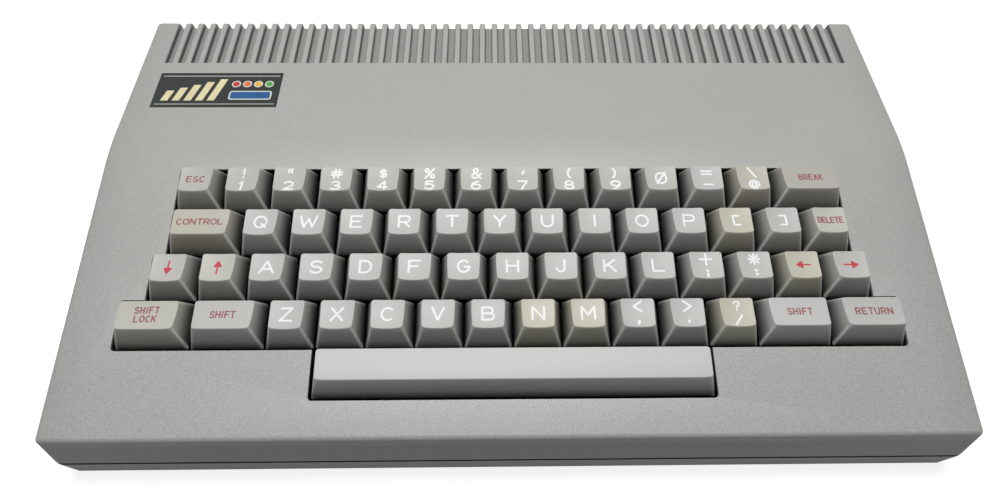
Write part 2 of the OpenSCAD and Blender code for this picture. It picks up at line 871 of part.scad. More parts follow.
module main_board() {
    color("#3f6b43")
        difference() {
            bar_box([-main_board_w / 2, main_front_y, board_z],
                    [main_board_w / 2, main_rear_y, board_top]);
            for (side = [-1, 1])
                for (y = boss_ys)
                    translate([side * boss_x, y, board_z - CUT])
                        cylinder(r = boss_r + 1, h = board_t + 2 * CUT);
            for (side = [-1, 1])
                for (y = standoff_ys)
                    translate([side * standoff_x, y, board_z - CUT])
                        cylinder(r = small_screw_r + 0.2, h = board_t + 2 * CUT);
        }
}

// One chip in its socket, with its pin-one notch at the left end
module chip(len_x, wide_y) {
    bar_box([-len_x / 2, -wide_y / 2, 0], [len_x / 2, wide_y / 2, 1.4]);
    difference() {
        bar_box([-len_x / 2 + 0.4, -wide_y / 2 + 0.7, 1.4], [len_x / 2 - 0.4, wide_y / 2 - 0.7, 4.6]);
        translate([-len_x / 2, 0, 3.8])
            cylinder(r = 1.1, h = 2);
    }
}

module board_chips() {
    big = [51, 15];
    middle = [31, 15];
    small = [20, 7.6];
    color("#1d1e20")
        translate([0, main_front_y, board_top]) {
            for (i = [0 : 2])
                translate([-102 + 58 * i, 84, 0])
                    chip(big.x, big.y);
            for (i = [0 : 4])
                translate([60 + 20 * i - 40, 56, 0])
                    rotate(90)
                        chip(middle.x, middle.y);
            for (i = [0 : 9])
                for (j = [0 : 1])
                    translate([-126 + 27 * i, 16 + 13 * j, 0])
                        chip(small.x, small.y);
            for (i = [0 : 4])
                translate([-120 + 26 * i, 44, 0])
                    chip(small.x, small.y);
        }
}

module board_components() {
    color("#3b5f8a")
        translate([0, 0, board_top]) {
            for (x = [88, 104, 120])
                translate([x, 52, 0])
                    cylinder(r = 5, h = 20);
            translate([136, 48, 0])
                cylinder(r = 8, h = 26);
            for (i = [0 : 8])
                translate([-110 + 24 * i, 34, 0])
                    bar_box([-3, -1.4, 0], [3, 1.4, 5]);
            translate([70, 40, 0])
                bar_box([-5.5, -2.4, 0], [5.5, 2.4, 13]);
        }
}

module heatsink() {
    fin_count = 9;
    fin_gap = 7;
    color("#b9bcbe")
        translate([heatsink_x, heatsink_y, board_top]) {
            bar_box([-32, -1.5, 0], [32, 1.5, 24]);
            for (i = [0 : fin_count - 1])
                translate([(i - (fin_count - 1) / 2) * fin_gap, 1.5 - EPS, 0])
                    bar_box([-0.7, 0, 3], [0.7, 11, 24]);
        }
    color("#303234")
        for (x = [-16, 16])
            translate([heatsink_x + x, heatsink_y - 1.55, board_top]) {
                bar_box([-5, -4.5, 6], [5, 0, 16]);
                for (leg = [-2.5, 0, 2.5])
                    bar_box([leg - 0.4, -2.6, 0], [leg + 0.4, -1.8, 6]);
            }
}

// The loudspeaker hangs under the rear deck, its cone facing down
module loudspeaker() {
    roof = top_z - wall;
    color("#2d2e30")
        translate([44, ridge_y + 26, roof])
            difference() {
                union() {
                    translate([0, 0, -3])
                        cylinder(r = 22, h = 3);
                    translate([0, 0, -9])
                        cylinder(r1 = 12, r2 = 20, h = 6);
                    translate([0, 0, -15])
                        cylinder(r = 11, h = 6);
                }
                translate([0, 0, -2])
                    cylinder(r = 19, h = 2 + CUT);
            }
}

module tv_modulator() {
    can_w = 38;
    can_d = 24;
    can_h = 19;
    sleeve = rear_at(phono_z) - 0.5 - tv_can_rear;
    color("#b4b7b8") {
        bar_box([tv_x - can_w / 2, tv_can_rear - can_d, board_top],
                [tv_x + can_w / 2, tv_can_rear, board_top + can_h]);
        translate([tv_x, tv_can_rear - EPS, phono_z])
            rotate([-90, 0, 0])
                difference() {
                    union() {
                        cylinder(r = phono_r, h = sleeve);
                        cylinder(r = phono_r + 1, h = 1);
                    }
                    translate([0, 0, 1])
                        cylinder(r = 1.6, h = sleeve);
                }
    }
}

// A round data socket: an upright body on the board and a round face with a ring and pin holes
module data_socket() {
    depth = din_face_y - din_body_front;
    nose = wall + 1;
    color("#232527")
        difference() {
            union() {
                bar_box([-8.6, 0, -din_z], [8.6, depth - nose, din_z * 0.7]);
                translate([0, depth - nose - EPS, 0])
                    rotate([-90, 0, 0])
                        cylinder(r = din_r, h = nose);
            }
            translate([0, depth + EPS, 0])
                rotate([90, 0, 0]) {
                    difference() {
                        cylinder(r = din_r - 0.8, h = 7);
                        translate([0, 0, -CUT])
                            cylinder(r = din_r - 1.8, h = 7 + 2 * CUT);
                    }
                    for (turn = [0 : 45 : 180])
                        rotate(turn)
                            translate([3.6, 0, 0])
                                cylinder(r = 0.75, h = 6);
                    translate([0, -din_r + 1.4, 3])
                        cube([3, 2.6, 8], center = true);
                }
        }
}

// A round power socket: its body stays behind the locating lip and its nose reaches into the opening
module power_socket() {
    nose = rear_at(power_z) - 1 - socket_body_y;
    body_d = 12;
    bore_d = 10;
    color("#1c1d1f")
        translate([power_x, socket_body_y, power_z]) {
            difference() {
                union() {
                    bar_box([-4.6, -body_d, board_top - power_z], [4.6, 0, power_r + 1.3]);
                    translate([0, -EPS, 0])
                        rotate([-90, 0, 0])
                            cylinder(r = power_hole_r - 0.6, h = nose);
                }
                translate([0, nose + CUT, 0])
                    rotate([90, 0, 0])
                        cylinder(r = power_r, h = bore_d + CUT);
            }
            translate([0, nose - 0.8, 0])
                rotate([90, 0, 0])
                    cylinder(r = 1, h = bore_d - 0.8 + EPS);
        }
}

module rear_sockets() {
    for (x = din_xs)
        translate([x, din_body_front, din_centre_z])
            data_socket();
    power_socket();
}

module expansion_connector() {
    half = expansion_w / 2;
    slot_half_w = half - 5;
    slot_half_h = expansion_h / 2 - 2;
    contact_pitch = 2.54;
    contact_count = floor(2 * slot_half_w / contact_pitch) - 1;
    color("#b8a888")
        translate([expansion_x, expansion_face_y, expansion_z]) {
            difference() {
                bar_box([-half, -12, -expansion_h / 2], [half, 0, expansion_h / 2]);
                bar_box([-slot_half_w, -7, -slot_half_h], [slot_half_w, CUT, slot_half_h]);
            }
            for (i = [0 : contact_count - 1])
                for (z = [-contact_pitch / 2, contact_pitch / 2])
                    translate([(i - (contact_count - 1) / 2) * contact_pitch, -7.2, z])
                        bar_box([-0.32, 0, -0.32], [0.32, 5.6, 0.32]);
        }
}

// The flat cable between the two boards, as a band along a smooth curve between its two plugs
module ribbon_cable() {
    upper_s = board_rear_s - 5;
    plug_t = 4.5;
    start = [front_y + upper_s * cos(deck_slope) + (board_low_w + plug_t) * sin(deck_slope),
             front_z + upper_s * sin(deck_slope) - (board_low_w + plug_t) * cos(deck_slope)];
    finish = [start.x + 16, board_top + plug_t];
    pull = 14;
    steps = 16;
    control_a = start + pull * [sin(deck_slope), -cos(deck_slope)];
    control_b = finish + [0, pull];
    route = [for (i = [0 : steps]) let (t = i / steps, u = 1 - t)
        u * u * u * start + 3 * u * u * t * control_a + 3 * u * t * t * control_b + t * t * t * finish];
    along = [for (i = [0 : steps]) let (d = route[min(i + 1, steps)] - route[max(i - 1, 0)]) d / norm(d)];
    left = [for (i = [0 : steps]) route[i] + cable_t / 2 * [-along[i].y, along[i].x]];
    right = [for (i = [steps : -1 : 0]) route[i] - cable_t / 2 * [-along[i].y, along[i].x]];
    color("#8d9096")
        rotate([90, 0, 90])
            linear_extrude(cable_w, center = true)
                polygon(concat(left, right));
    color("#232527") {
        on_deck(0, upper_s, -board_low_w - plug_t)
            bar_box([-cable_w / 2 - 1, -3, 0], [cable_w / 2 + 1, 3, plug_t]);
        translate([0, finish.x, board_top])
            bar_box([-cable_w / 2 - 1, -3, 0], [cable_w / 2 + 1, 3, plug_t]);
    }
}

module board_screws() {
    color("#9b9da0") {
        for (side = [-1, 1])
            for (y = standoff_ys)
                translate([side * standoff_x, y, board_top]) {
                    cylinder(r = small_head_r, h = 1.6);
                    translate([0, 0, -board_t - standoff_h + 1])
                        cylinder(r = small_screw_r, h = board_t + standoff_h - 1 + EPS);
                }
        for (p = POSTS)
            on_deck(p.x, p.y, -frame_deep - frame_t) {
                translate([0, 0, -1.6])
                    cylinder(r = small_head_r, h = 1.6);
                translate([0, 0, -EPS])
                    cylinder(r = small_screw_r, h = frame_t + frame_deep - wall - 1.4);
            }
    }
}

upper_case();
base_tray();
badge_plate();
rubber_feet();
case_screws();
keyboard_frame();
key_switches();
keyboard_board();
space_bar_wire();
main_board();
board_chips();
board_components();
heatsink();
loudspeaker();
tv_modulator();
rear_sockets();
expansion_connector();
ribbon_cable();
board_screws();
for (name = KEY_NODES)
    keys_of(name);
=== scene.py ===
import json
import math

import bmesh
import bpy
from mathutils import Matrix, Vector

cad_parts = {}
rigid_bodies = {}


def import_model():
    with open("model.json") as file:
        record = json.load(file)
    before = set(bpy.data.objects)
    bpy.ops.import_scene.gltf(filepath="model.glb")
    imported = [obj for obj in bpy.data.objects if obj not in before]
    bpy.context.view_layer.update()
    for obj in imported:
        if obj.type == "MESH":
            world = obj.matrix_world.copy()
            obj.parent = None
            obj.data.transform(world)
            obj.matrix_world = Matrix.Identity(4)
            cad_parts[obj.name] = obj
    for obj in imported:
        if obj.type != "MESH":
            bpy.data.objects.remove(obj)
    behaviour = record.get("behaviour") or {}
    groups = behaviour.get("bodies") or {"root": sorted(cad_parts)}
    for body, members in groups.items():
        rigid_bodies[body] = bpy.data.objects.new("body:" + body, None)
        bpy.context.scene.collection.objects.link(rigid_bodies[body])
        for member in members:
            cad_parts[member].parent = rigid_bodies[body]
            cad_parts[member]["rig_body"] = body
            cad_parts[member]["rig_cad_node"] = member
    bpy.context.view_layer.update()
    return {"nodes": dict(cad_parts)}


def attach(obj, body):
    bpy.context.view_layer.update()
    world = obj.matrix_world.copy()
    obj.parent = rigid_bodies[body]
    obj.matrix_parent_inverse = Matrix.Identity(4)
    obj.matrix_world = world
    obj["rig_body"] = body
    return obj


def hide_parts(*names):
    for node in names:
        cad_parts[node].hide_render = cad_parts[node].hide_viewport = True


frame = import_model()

# ---- Sizes, in millimetres unless they say otherwise ----
MM = 0.001
PITCH = 19.05
DECK_SLOPE = math.radians(11.2)
FRONT_Y, FRONT_Z = -100.0, 33.0
FRONT_MARGIN = 14.55
ROW_COUNT = 5
TOP_Z = 56.44
REAR_Y = 99.4
JOINT_Z = 14.15
EDGE_RADIUS, BADGE_RADIUS = 0.3, 0.18

# The vent grooves: front end, fall down the rear wall, and how far out the last one reaches
GROOVE_PITCH, GROOVE_W, GROOVE_DEEP = 6.0, 3.3, 2.4
GROOVE_FRONT, GROOVE_FALL, GROOVE_ENDS = 70.7, 9.0, 161.0
# The ribs between them: the bevel they come with, their rounding, and where they end
RIB_BEVEL, RIB_RADIUS = 0.27, 1.0
RIB_FALL, RIB_ENDS = 9.6, 163.0
# The fold between the slope and the rear deck, and how far its rounding reaches
FOLD_Y, FOLD_REACH = 18.4, 8.0

CAP_BASE = 9.05
CAP_SINK = 2.0
CAP_RISE = 7.9
CAP_HEIGHT = CAP_RISE + CAP_SINK
CAP_TILT = math.radians(8)
SIDE_TAPER, FRONT_TAPER, BACK_TAPER = 3.15, 5.6, 1.45
BAR_SIDE_TAPER, BAR_BACK_TAPER = 2.7, 1.1
DISH_R = 40.0
LIP_R = 0.22
FRONT_BOW, BOW_REACH = 0.35, 5.0
CAP_WALL = 1.2
CEILING = 4.65
PLUNGER_W = 5.8
PLUNGER_LOW, PLUNGER_NECK = -9.6, -0.5

STROKE, WORD_STROKE, ARROW_STROKE = 0.86, 0.56, 0.66
LEGEND_PROUD = 0.03

# The deck's own frame: X across, Y up the slope from the front edge, Z off the deck
DECK = Matrix.Translation((0, FRONT_Y * MM, FRONT_Z * MM)) @ Matrix.Rotation(DECK_SLOPE, 4, "X")

# ---- Camera and light: turns in degrees, places in metres ----
CAMERA_YAW, CAMERA_DROP, CAMERA_ROLL = -1.6955, 58.110, 1.1965
CAMERA_PLACE = (-0.008778, -0.166636, 0.270189)
CAMERA_LENS = 23.4
LAMP_PLACE, LAMP_AIM = (-0.03, 0.14, 0.9), (0, 0, 0.03)
LAMP_SIZE = (0.62, 0.25)
LAMP_POWER = 7.05
WORLD_LIGHT = 0.014
FLOOR_LIFT = 0.86

# ---- Painted shade, painted highlights, dirt and wear: how dark a place becomes, and between which millimetres it fades ----
# SKIRT_SHADE is painted shade at the keys' skirts; RIDGE_HIGHLIGHT is a painted highlight on their
# corner ridges
SKIRT_SHADE, RIDGE_HIGHLIGHT = 0.03, 0.85
# Painted shade on the front walls
FRONT_SHADE, FRONT_FADE = 0.62, (-100.9, -99.6)
FRONT_SHEEN, SHEEN_FADE = 0.3, (-100.9, -99.8)
# Painted shade toward the ends of the deck
END_SHADE, END_FADE = 0.86, (156, 176)
REAR_FADE, REAR_SMOOTH = (-60, 55), 0.65
# Dirt and painted shade in the joint between the case halves
JOINT_DIRT_AND_SHADE, JOINT_FADE = 0.9, (0.65, 0.95)
# Painted shade on the walls of the keyboard opening
OPENING_DEPTH = (1.4, 0.5)
OPENING_ENDS, OPENING_FRONT, OPENING_REAR = (166, 168), (-98, -97), (12, 13.5)
# Painted shade on the vent grooves' floors, deeper at the foot of each rib
GROOVE_FLOOR_SHADE, GROOVE_FOOT_SHADE = 0.62, 0.4
# How much the fine grain's colour varies, in shares of the soft clouds' variation
CASE_MOTTLE, PLAIN_MOTTLE = 11, 1.5
KEY_ROUGHNESS = 0.46

# ---- Small helpers ----


def linear(hex_colour):
    """A linear RGBA colour from an sRGB hex value."""
    parts = [int(hex_colour[i:i + 2], 16) / 255 for i in (1, 3, 5)]
    return [c / 12.92 if c <= 0.04045 else ((c + 0.055) / 1.055) ** 2.4 for c in parts] + [1.0]


def add_node(tree, kind, inputs=None, **settings):
    """A shader node with its settings, its plain values and its links."""
    made = tree.nodes.new("ShaderNode" + kind)
    for name, value in settings.items():
        setattr(made, name, value)
    for name, value in (inputs or {}).items():
        if isinstance(value, bpy.types.NodeSocket):
            tree.links.new(value, made.inputs[name])
        else:
            made.inputs[name].default_value = value
    return made


def new_material(name):
    material = bpy.data.materials.new(name)
    material.use_nodes = True
    material.node_tree.nodes.clear()
    return material, material.node_tree


def finish_material(material, inputs):
    """Ends a material in one Principled shader with these inputs."""
    shader = add_node(material.node_tree, "BsdfPrincipled", inputs)
    add_node(material.node_tree, "OutputMaterial", {"Surface": shader.outputs["BSDF"]})
    return material


def place(tree):
    """Object coordinates, which don't move with the camera."""
    return add_node(tree, "TexCoord").outputs["Object"]


def axes_of(tree, where):
    return add_node(tree, "SeparateXYZ", {0: where}).outputs


def noise(tree, size_mm, detail=2.0, roughness=0.5, vector=None):
    """Noise whose features are size_mm across."""
    made = add_node(tree, "TexNoise", {
        "Vector": vector or place(tree), "Scale": 1 / (size_mm * MM),
        "Detail": detail, "Roughness": roughness})
    return made.outputs["Factor"] if "Factor" in made.outputs else made.outputs["Fac"]


def spread(tree, value, low, high, start=0.0, end=1.0):
    """The value mapped from low..high to start..end, and held there."""
    return add_node(tree, "MapRange", {
        "Value": value, "From Min": low, "From Max": high,
        "To Min": start, "To Max": end}).outputs["Result"]


def spread_mm(tree, value, low, high, start=0.0, end=1.0):
    """The same from low to high in millimetres."""
    return spread(tree, value, low * MM, high * MM, start, end)


def uneven(tree, texture, middle, below, above):
    """A value that a texture moves a little below and above its middle."""
    return spread(tree, texture, 0.3, 0.7, middle - below, middle + above)


def maths(tree, operation, *values):
    return add_node(tree, "Math", dict(enumerate(values)), operation=operation).outputs[0]


def product(tree, first, *others):
    """All the values multiplied with one another."""
    for other in others:
        first = maths(tree, "MULTIPLY", first, other)
    return first


def shaded(tree, colour, share):
    """The colour, made darker or lighter by a share."""
    return add_node(tree, "VectorMath", {0: colour, "Scale": share}, operation="SCALE").outputs[0]


def blend_colours(tree, factor, first, second):
    return add_node(tree, "Mix", {0: factor, 6: first, 7: second}, data_type="RGBA").outputs[2]


def two_tone(tree, texture, low, high, colour, other, most=1.0):
    """One colour, and up to so much of another where a texture runs from low to high."""
    share = spread(tree, texture, low, high, 0.0, most)
    return blend_colours(tree, share, linear(colour), linear(other))


def blend_values(tree, factor, first, second):
    return add_node(tree, "Mix", {0: factor, 2: first, 3: second}, data_type="FLOAT").outputs[0]


def bump(tree, height, distance_mm, strength):
    return add_node(tree, "Bump", {
        "Height": height, "Distance": distance_mm * MM, "Strength": strength}).outputs["Normal"]


def pick(piece):
    """Selects the piece alone, and makes it the active one."""
    bpy.ops.object.select_all(action="DESELECT")
    bpy.context.view_layer.objects.active = piece
    piece.select_set(True)


def edit(piece):
    """Opens the piece in edit mode, with nothing selected."""
    pick(piece)
    bpy.ops.object.mode_set(mode="EDIT")
    bpy.ops.mesh.select_mode(type="VERT")
    bpy.ops.mesh.select_all(action="DESELECT")


def choose(piece, kind, wanted):
    """Selects each "face" or "edge" of the open piece for which wanted says so."""
    bpy.ops.mesh.select_mode(type=kind.upper())
    net = bmesh.from_edit_mesh(piece.data)
    for part in getattr(net, kind + "s"):
        part.select_set(wanted(part))
    bmesh.update_edit_mesh(piece.data)


def close_edit():
    bpy.ops.object.mode_set(mode="OBJECT")


def soften_edges(piece, width_mm, degrees):
    """Rounds every edge that turns by more than these degrees."""
    pick(piece)
    modifier = piece.modifiers.new("Bevel", "BEVEL")
    modifier.width = width_mm * MM
    modifier.segments = 2
    modifier.limit_method = "ANGLE"
    modifier.angle_limit = math.radians(degrees)
    bpy.ops.object.modifier_apply(modifier=modifier.name)


def smooth(piece, degrees):
    pick(piece)
    bpy.ops.object.shade_smooth_by_angle(angle=math.radians(degrees))


def settle(piece, matrix):
    """Moves the piece's mesh, so that its object stays at the origin."""
    piece.data.transform(matrix @ piece.matrix_world)
    piece.matrix_world = Matrix.Identity(4)


def copy_of(piece, name):
    made = piece.copy()
    made.data = piece.data.copy()
    made.name = made.data.name = name
    bpy.context.scene.collection.objects.link(made)
    return made


def join(first, others):
    """Joins the others into the first, whose materials come first."""
    pick(first)
    for other in others:
        other.select_set(True)
    bpy.ops.object.join()


def meshed(curve_data, name):
    """A curve turned into a mesh piece."""
    curve = bpy.data.objects.new(name, curve_data)
    bpy.context.scene.collection.objects.link(curve)
    pick(curve)
    bpy.ops.object.convert(target="MESH")
    return bpy.context.active_object


def bow(cx, cy, rx, ry, start, end):
    """Points along an arc, in degrees, counterclockwise where end is the larger."""
    steps = max(4, round(abs(end - start) / 15))
    turns = [math.radians(start + (end - start) * i / steps) for i in range(steps + 1)]
    return [(cx + rx * math.cos(t), cy + ry * math.sin(t)) for t in turns]


def finished(piece, body, slot, replaced):
    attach(piece, body)
    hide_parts(*replaced)


# ---- Camera, floor and light ----


def make_camera():
    yaw, drop, roll = (math.radians(a) for a in (CAMERA_YAW, CAMERA_DROP, CAMERA_ROLL))
    ahead = Vector((-math.sin(yaw) * math.cos(drop), math.cos(yaw) * math.cos(drop),
                    -math.sin(drop)))
    level_right = Vector((math.cos(yaw), math.sin(yaw), 0))
    level_up = level_right.cross(ahead)
    right = math.cos(roll) * level_right + math.sin(roll) * level_up
    up = math.cos(roll) * level_up - math.sin(roll) * level_right
    data = bpy.data.cameras.new("camera")
    data.sensor_width = 36
    data.sensor_fit = "HORIZONTAL"
    data.lens = CAMERA_LENS
    data.clip_start = 0.01
    camera = bpy.data.objects.new("camera", data)
    turned = Matrix((right, up, -ahead)).transposed().to_4x4()
    camera.matrix_world = Matrix.Translation(CAMERA_PLACE) @ turned
    bpy.context.scene.collection.objects.link(camera)
    bpy.context.scene.camera = camera


def seen_as_background(tree):
    """1 where the camera, a mirror or glass looks at it, and 0 where it lights the object."""
    path = add_node(tree, "LightPath").outputs
    seen = maths(tree, "MAXIMUM", path["Is Camera Ray"], path["Is Glossy Ray"])
    return maths(tree, "MAXIMUM", seen, path["Is Transmission Ray"])


def make_floor():
    """A matt card under the object: it is seen as white, and takes the object's soft shadow."""
    bpy.ops.mesh.primitive_plane_add(size=6)
    floor = bpy.context.active_object
    floor.name = "floor"
    material, tree = new_material("matt_white_card")
    lift = product(tree, seen_as_background(tree), FLOOR_LIFT)
    card = add_node(tree, "BsdfDiffuse", {"Color": linear("#A8A8A8")})
    glow = add_node(tree, "Emission", {"Color": (1, 1, 1, 1), "Strength": lift})
    both = add_node(tree, "AddShader", {0: card.outputs[0], 1: glow.outputs[0]})
    add_node(tree, "OutputMaterial", {"Surface": both.outputs[0]})
    floor.data.materials.append(material)


def make_world():
    """A white backdrop, which gives the object only a little light."""
    world = bpy.data.worlds.new("studio")
    bpy.context.scene.world = world
    world.use_nodes = True
    tree = world.node_tree
    tree.nodes.clear()
    strength = spread(tree, seen_as_background(tree), 0, 1, WORLD_LIGHT, 1)
    sky = add_node(tree, "Background", {"Color": (1, 1, 1, 1), "Strength": strength})
    add_node(tree, "OutputWorld", {"Surface": sky.outputs[0]})


def make_lamp():
    """One wide softbox above the object, a little to its rear."""
    data = bpy.data.lights.new("overhead_softbox", "AREA")
    data.shape = "RECTANGLE"
    data.size, data.size_y = LAMP_SIZE
    data.energy = LAMP_POWER
    lamp = bpy.data.objects.new("overhead_softbox", data)
    lamp.location = LAMP_PLACE
    ahead = Vector(LAMP_AIM) - Vector(LAMP_PLACE)
    lamp.rotation_euler = ahead.to_track_quat("-Z", "Y").to_euler()
    bpy.context.scene.collection.objects.link(lamp)


# ---- Materials ----


def own_value(tree, name):
    """A value that the piece's own mesh carries, such as how near its skirt a point lies."""
    return add_node(tree, "Attribute", attribute_name=name).outputs["Fac"]


def painted_key_shading(tree, base):
    """Painted shade darkens the keys toward their skirts, and a painted highlight lights their
    corner ridges pale.
    """
    skirt_shaded = shaded(tree, base, spread(tree, own_value(tree, "skirt_shade"), 0.0, 1.0, 1.0, SKIRT_SHADE))
    painted_highlight = spread(tree, own_value(tree, "ridge"), 0.0, 1.0, 0.0, RIDGE_HIGHLIGHT)
    return blend_colours(tree, painted_highlight, skirt_shaded, linear("#E8E8E2"))


def moulded_abs(name, colour, grain_mm, depth_mm, roughness, patch=0.03, rear=None,
                specular=0.42, key=False, joint=False, grooves=False):
    """Injection-moulded ABS from a spark-eroded mould: an even matt skin with fine grain."""
    material, tree = new_material(name)
    where = place(tree)
    clouds = uneven(tree, noise(tree, 38, 3, 0.55, where), 1, patch, patch)
    mottle = patch * (CASE_MOTTLE if joint else PLAIN_MOTTLE)
    fine = uneven(tree, noise(tree, grain_mm, 2, 0.7, where), 1, mottle, mottle)
    if joint:
        fine = worn_smooth(tree, fine, where)
    plain = blend_colours(tree, rear_share(tree, where), linear(colour), linear(rear or colour))
    base = shaded(tree, plain, product(tree, clouds, fine))
    # Keys: painted skirt shade and ridge highlight. Case halves: dirt and painted shade in the
    # joint, painted shade on the front and deck ends. Upper case: painted shade in grooves and
    # opening.
    if key:
        base = painted_key_shading(tree, base)
    if joint:
        base = joint_dirt_and_shade(tree, base, where)
        base = painted_front_and_end_shade(tree, base, where)
    if grooves:
        base = painted_groove_shade(tree, base, where)
        base = painted_opening_shade(tree, base, where)
    grain = noise(tree, grain_mm, 3, 0.6, where)
    return finish_material(material, {
        "Base Color": base, "IOR": 1.53,
        "Roughness": uneven(tree, grain, roughness, 0.04, 0.05),
        "Specular IOR Level": dull_front(tree, where, specular) if joint else specular,
        "Normal": bump(tree, grain, depth_mm, 0.5)})


def rear_share(tree, where):
    """0 at the front and 1 at the rear, where the grey is a little darker."""
    return spread_mm(tree, axes_of(tree, where)["Y"], *REAR_FADE)


def worn_smooth(tree, fine, where):
    """The grain is clear at the front and fades toward the rear; a few dark specks lie in it."""
    fading = spread(tree, rear_share(tree, where), 0.0, 1.0, 0.0, REAR_SMOOTH)
    specks = spread(tree, noise(tree, 0.7, 1, 0.5, where), 0.79, 0.82, 1.0, 0.7)
    return product(tree, blend_values(tree, fading, fine, 1.0), specks)


def dull_front(tree, where, specular):
    """The handled front wall has lost most of its sheen."""
    return spread_mm(tree, axes_of(tree, where)["Y"], *SHEEN_FADE, FRONT_SHEEN, specular)


def joint_dirt_and_shade(tree, base, where):
    """Dirt, together with painted shade, darkens the narrow joint between the case halves."""
    off = maths(tree, "SUBTRACT", axes_of(tree, where)["Z"], JOINT_Z * MM)
    dirt_and_shade = spread_mm(tree, maths(tree, "ABSOLUTE", off), *JOINT_FADE, JOINT_DIRT_AND_SHADE, 0.0)
    return blend_colours(tree, dirt_and_shade, base, linear("#161615"))


def painted_front_and_end_shade(tree, base, where):
    """Painted shade darkens the front wall, the tray's front edge and the ends of the deck."""
    axes = axes_of(tree, where)
    ends = spread_mm(tree, maths(tree, "ABSOLUTE", axes["X"]), *END_FADE, 1.0, END_SHADE)
    front = spread_mm(tree, axes["Y"], *FRONT_FADE, FRONT_SHADE, 1.0)
    return shaded(tree, base, product(tree, ends, front))


def painted_opening_shade(tree, base, where):
    """Painted shade darkens the walls of the keyboard opening, just under the sloping deck."""
    axes = axes_of(tree, where)
    up = (0, -math.sin(DECK_SLOPE), math.cos(DECK_SLOPE))
    rise = add_node(tree, "VectorMath", {0: where, 1: up}, operation="DOT_PRODUCT")
    deck = FRONT_Z * math.cos(DECK_SLOPE) - FRONT_Y * math.sin(DECK_SLOPE)
    below = [deck - depth for depth in OPENING_DEPTH]
    dark = product(
        tree, spread_mm(tree, rise.outputs["Value"], *below, 1.0, 0.0),
        spread_mm(tree, maths(tree, "ABSOLUTE", axes["X"]), *OPENING_ENDS, 1.0, 0.0),
        spread_mm(tree, axes["Y"], *OPENING_FRONT),
        spread_mm(tree, axes["Y"], *OPENING_REAR, 1.0, 0.0))
    return blend_colours(tree, dark, base, linear("#2A2A29"))


def painted_groove_shade(tree, base, where):
    """Painted shade darkens the floors of the vent grooves, and more so along the foot of each rib.
    """
    axes = axes_of(tree, where)
    half_pitch, half = GROOVE_PITCH / 2, GROOVE_W / 2
    # turn is 0 in the middle of a groove and half a pitch in the middle of a rib
    turn = maths(tree, "PINGPONG", maths(tree, "ADD", axes["X"], half_pitch * MM),
                 half_pitch * MM)
    down = maths(tree, "SUBTRACT", TOP_Z * MM, axes["Z"])
    behind = maths(tree, "SUBTRACT", axes["Y"], GROOVE_FRONT * MM)
    aside = maths(tree, "ABSOLUTE", axes["X"])
    within = product(
        tree, spread_mm(tree, down, 0.35, 1.1),
        spread_mm(tree, behind, 0.1, 0.6),
        spread_mm(tree, down, GROOVE_FALL - 0.3, GROOVE_FALL, 1.0, 0.0),
        spread_mm(tree, aside, GROOVE_ENDS, GROOVE_ENDS + 0.3, 1.0, 0.0),
        spread_mm(tree, turn, half + 0.05, half + 0.25, 1.0, 0.0))
    floor_shade = spread_mm(tree, turn, half - 0.65, half - 0.1,
                           GROOVE_FLOOR_SHADE, GROOVE_FOOT_SHADE)
    return shaded(tree, base, blend_values(tree, within, 1.0, floor_shade))


def yellowed_abs(name, colour, aged):
    """ABS that light has aged: the flame retardant has turned it yellow-green in soft patches."""
    material, tree = new_material(name)
    where = place(tree)
    base = two_tone(tree, noise(tree, 24, 1, 0.4, where), 0.25, 0.7, colour, aged)
    grain = noise(tree, 0.35, 2, 0.6, where)
    return finish_material(material, {
        # The yellowed caps get the same painted skirt shade and painted ridge highlight
        "Base Color": painted_key_shading(tree, base),
        "Roughness": uneven(tree, grain, KEY_ROUGHNESS, 0.04, 0.05), "IOR": 1.53,
        "Normal": bump(tree, grain, 0.02, 0.4)})


def printed_ink(name, colour, worn):
    """Ink printed on the caps and baked: flat and even, a little thinner here and there."""
    material, tree = new_material(name)
    return finish_material(material, {
        "Base Color": two_tone(tree, noise(tree, 1.2, 2, 0.6), 0.55, 0.8, colour, worn),
        "Roughness": 0.5, "IOR": 1.5})


def enamel(name, colour, thin):
    """Stoved enamel: smooth and glossy, with faint cloudiness where it lies thinner."""
    material, tree = new_material(name)
    return finish_material(material, {
        "Base Color": two_tone(tree, noise(tree, 2.2, 2, 0.5), 0.4, 0.75, colour, thin),
        "Roughness": spread(tree, noise(tree, 0.7, 2), 0.3, 0.7, 0.34, 0.44), "IOR": 1.5,
        "Specular IOR Level": 0.35, "Normal": bump(tree, noise(tree, 1.1, 2), 0.006, 0.4)})


def brushed_metal(name, colour, roughness, stretch, size_mm):
    """Metal with the fine lines of rolling or brushing, which streak its gloss."""
    material, tree = new_material(name)
    lines = add_node(tree, "Mapping", {"Vector": place(tree), "Scale": stretch}).outputs[0]
    streaks = noise(tree, size_mm, 4, 0.6, lines)
    return finish_material(material, {
        "Base Color": two_tone(tree, streaks, 0.3, 0.7, colour, "#6E7072", 0.35),
        "Metallic": 1.0, "Roughness": uneven(tree, streaks, roughness, 0.06, 0.1),
        "Normal": bump(tree, streaks, 0.02, 0.4)})


def soft_rubber(name, colour):
    """Black moulded rubber, matt, with a dusty bloom in patches."""
    material, tree = new_material(name)
    return finish_material(material, {
        "Base Color": two_tone(tree, noise(tree, 3, 4, 0.6), 0.45, 0.75, colour, "#4A4A4A", 0.5),
        "Roughness": 0.82, "Specular IOR Level": 0.3,
        "Normal": bump(tree, noise(tree, 0.6, 2), 0.03, 0.6)})


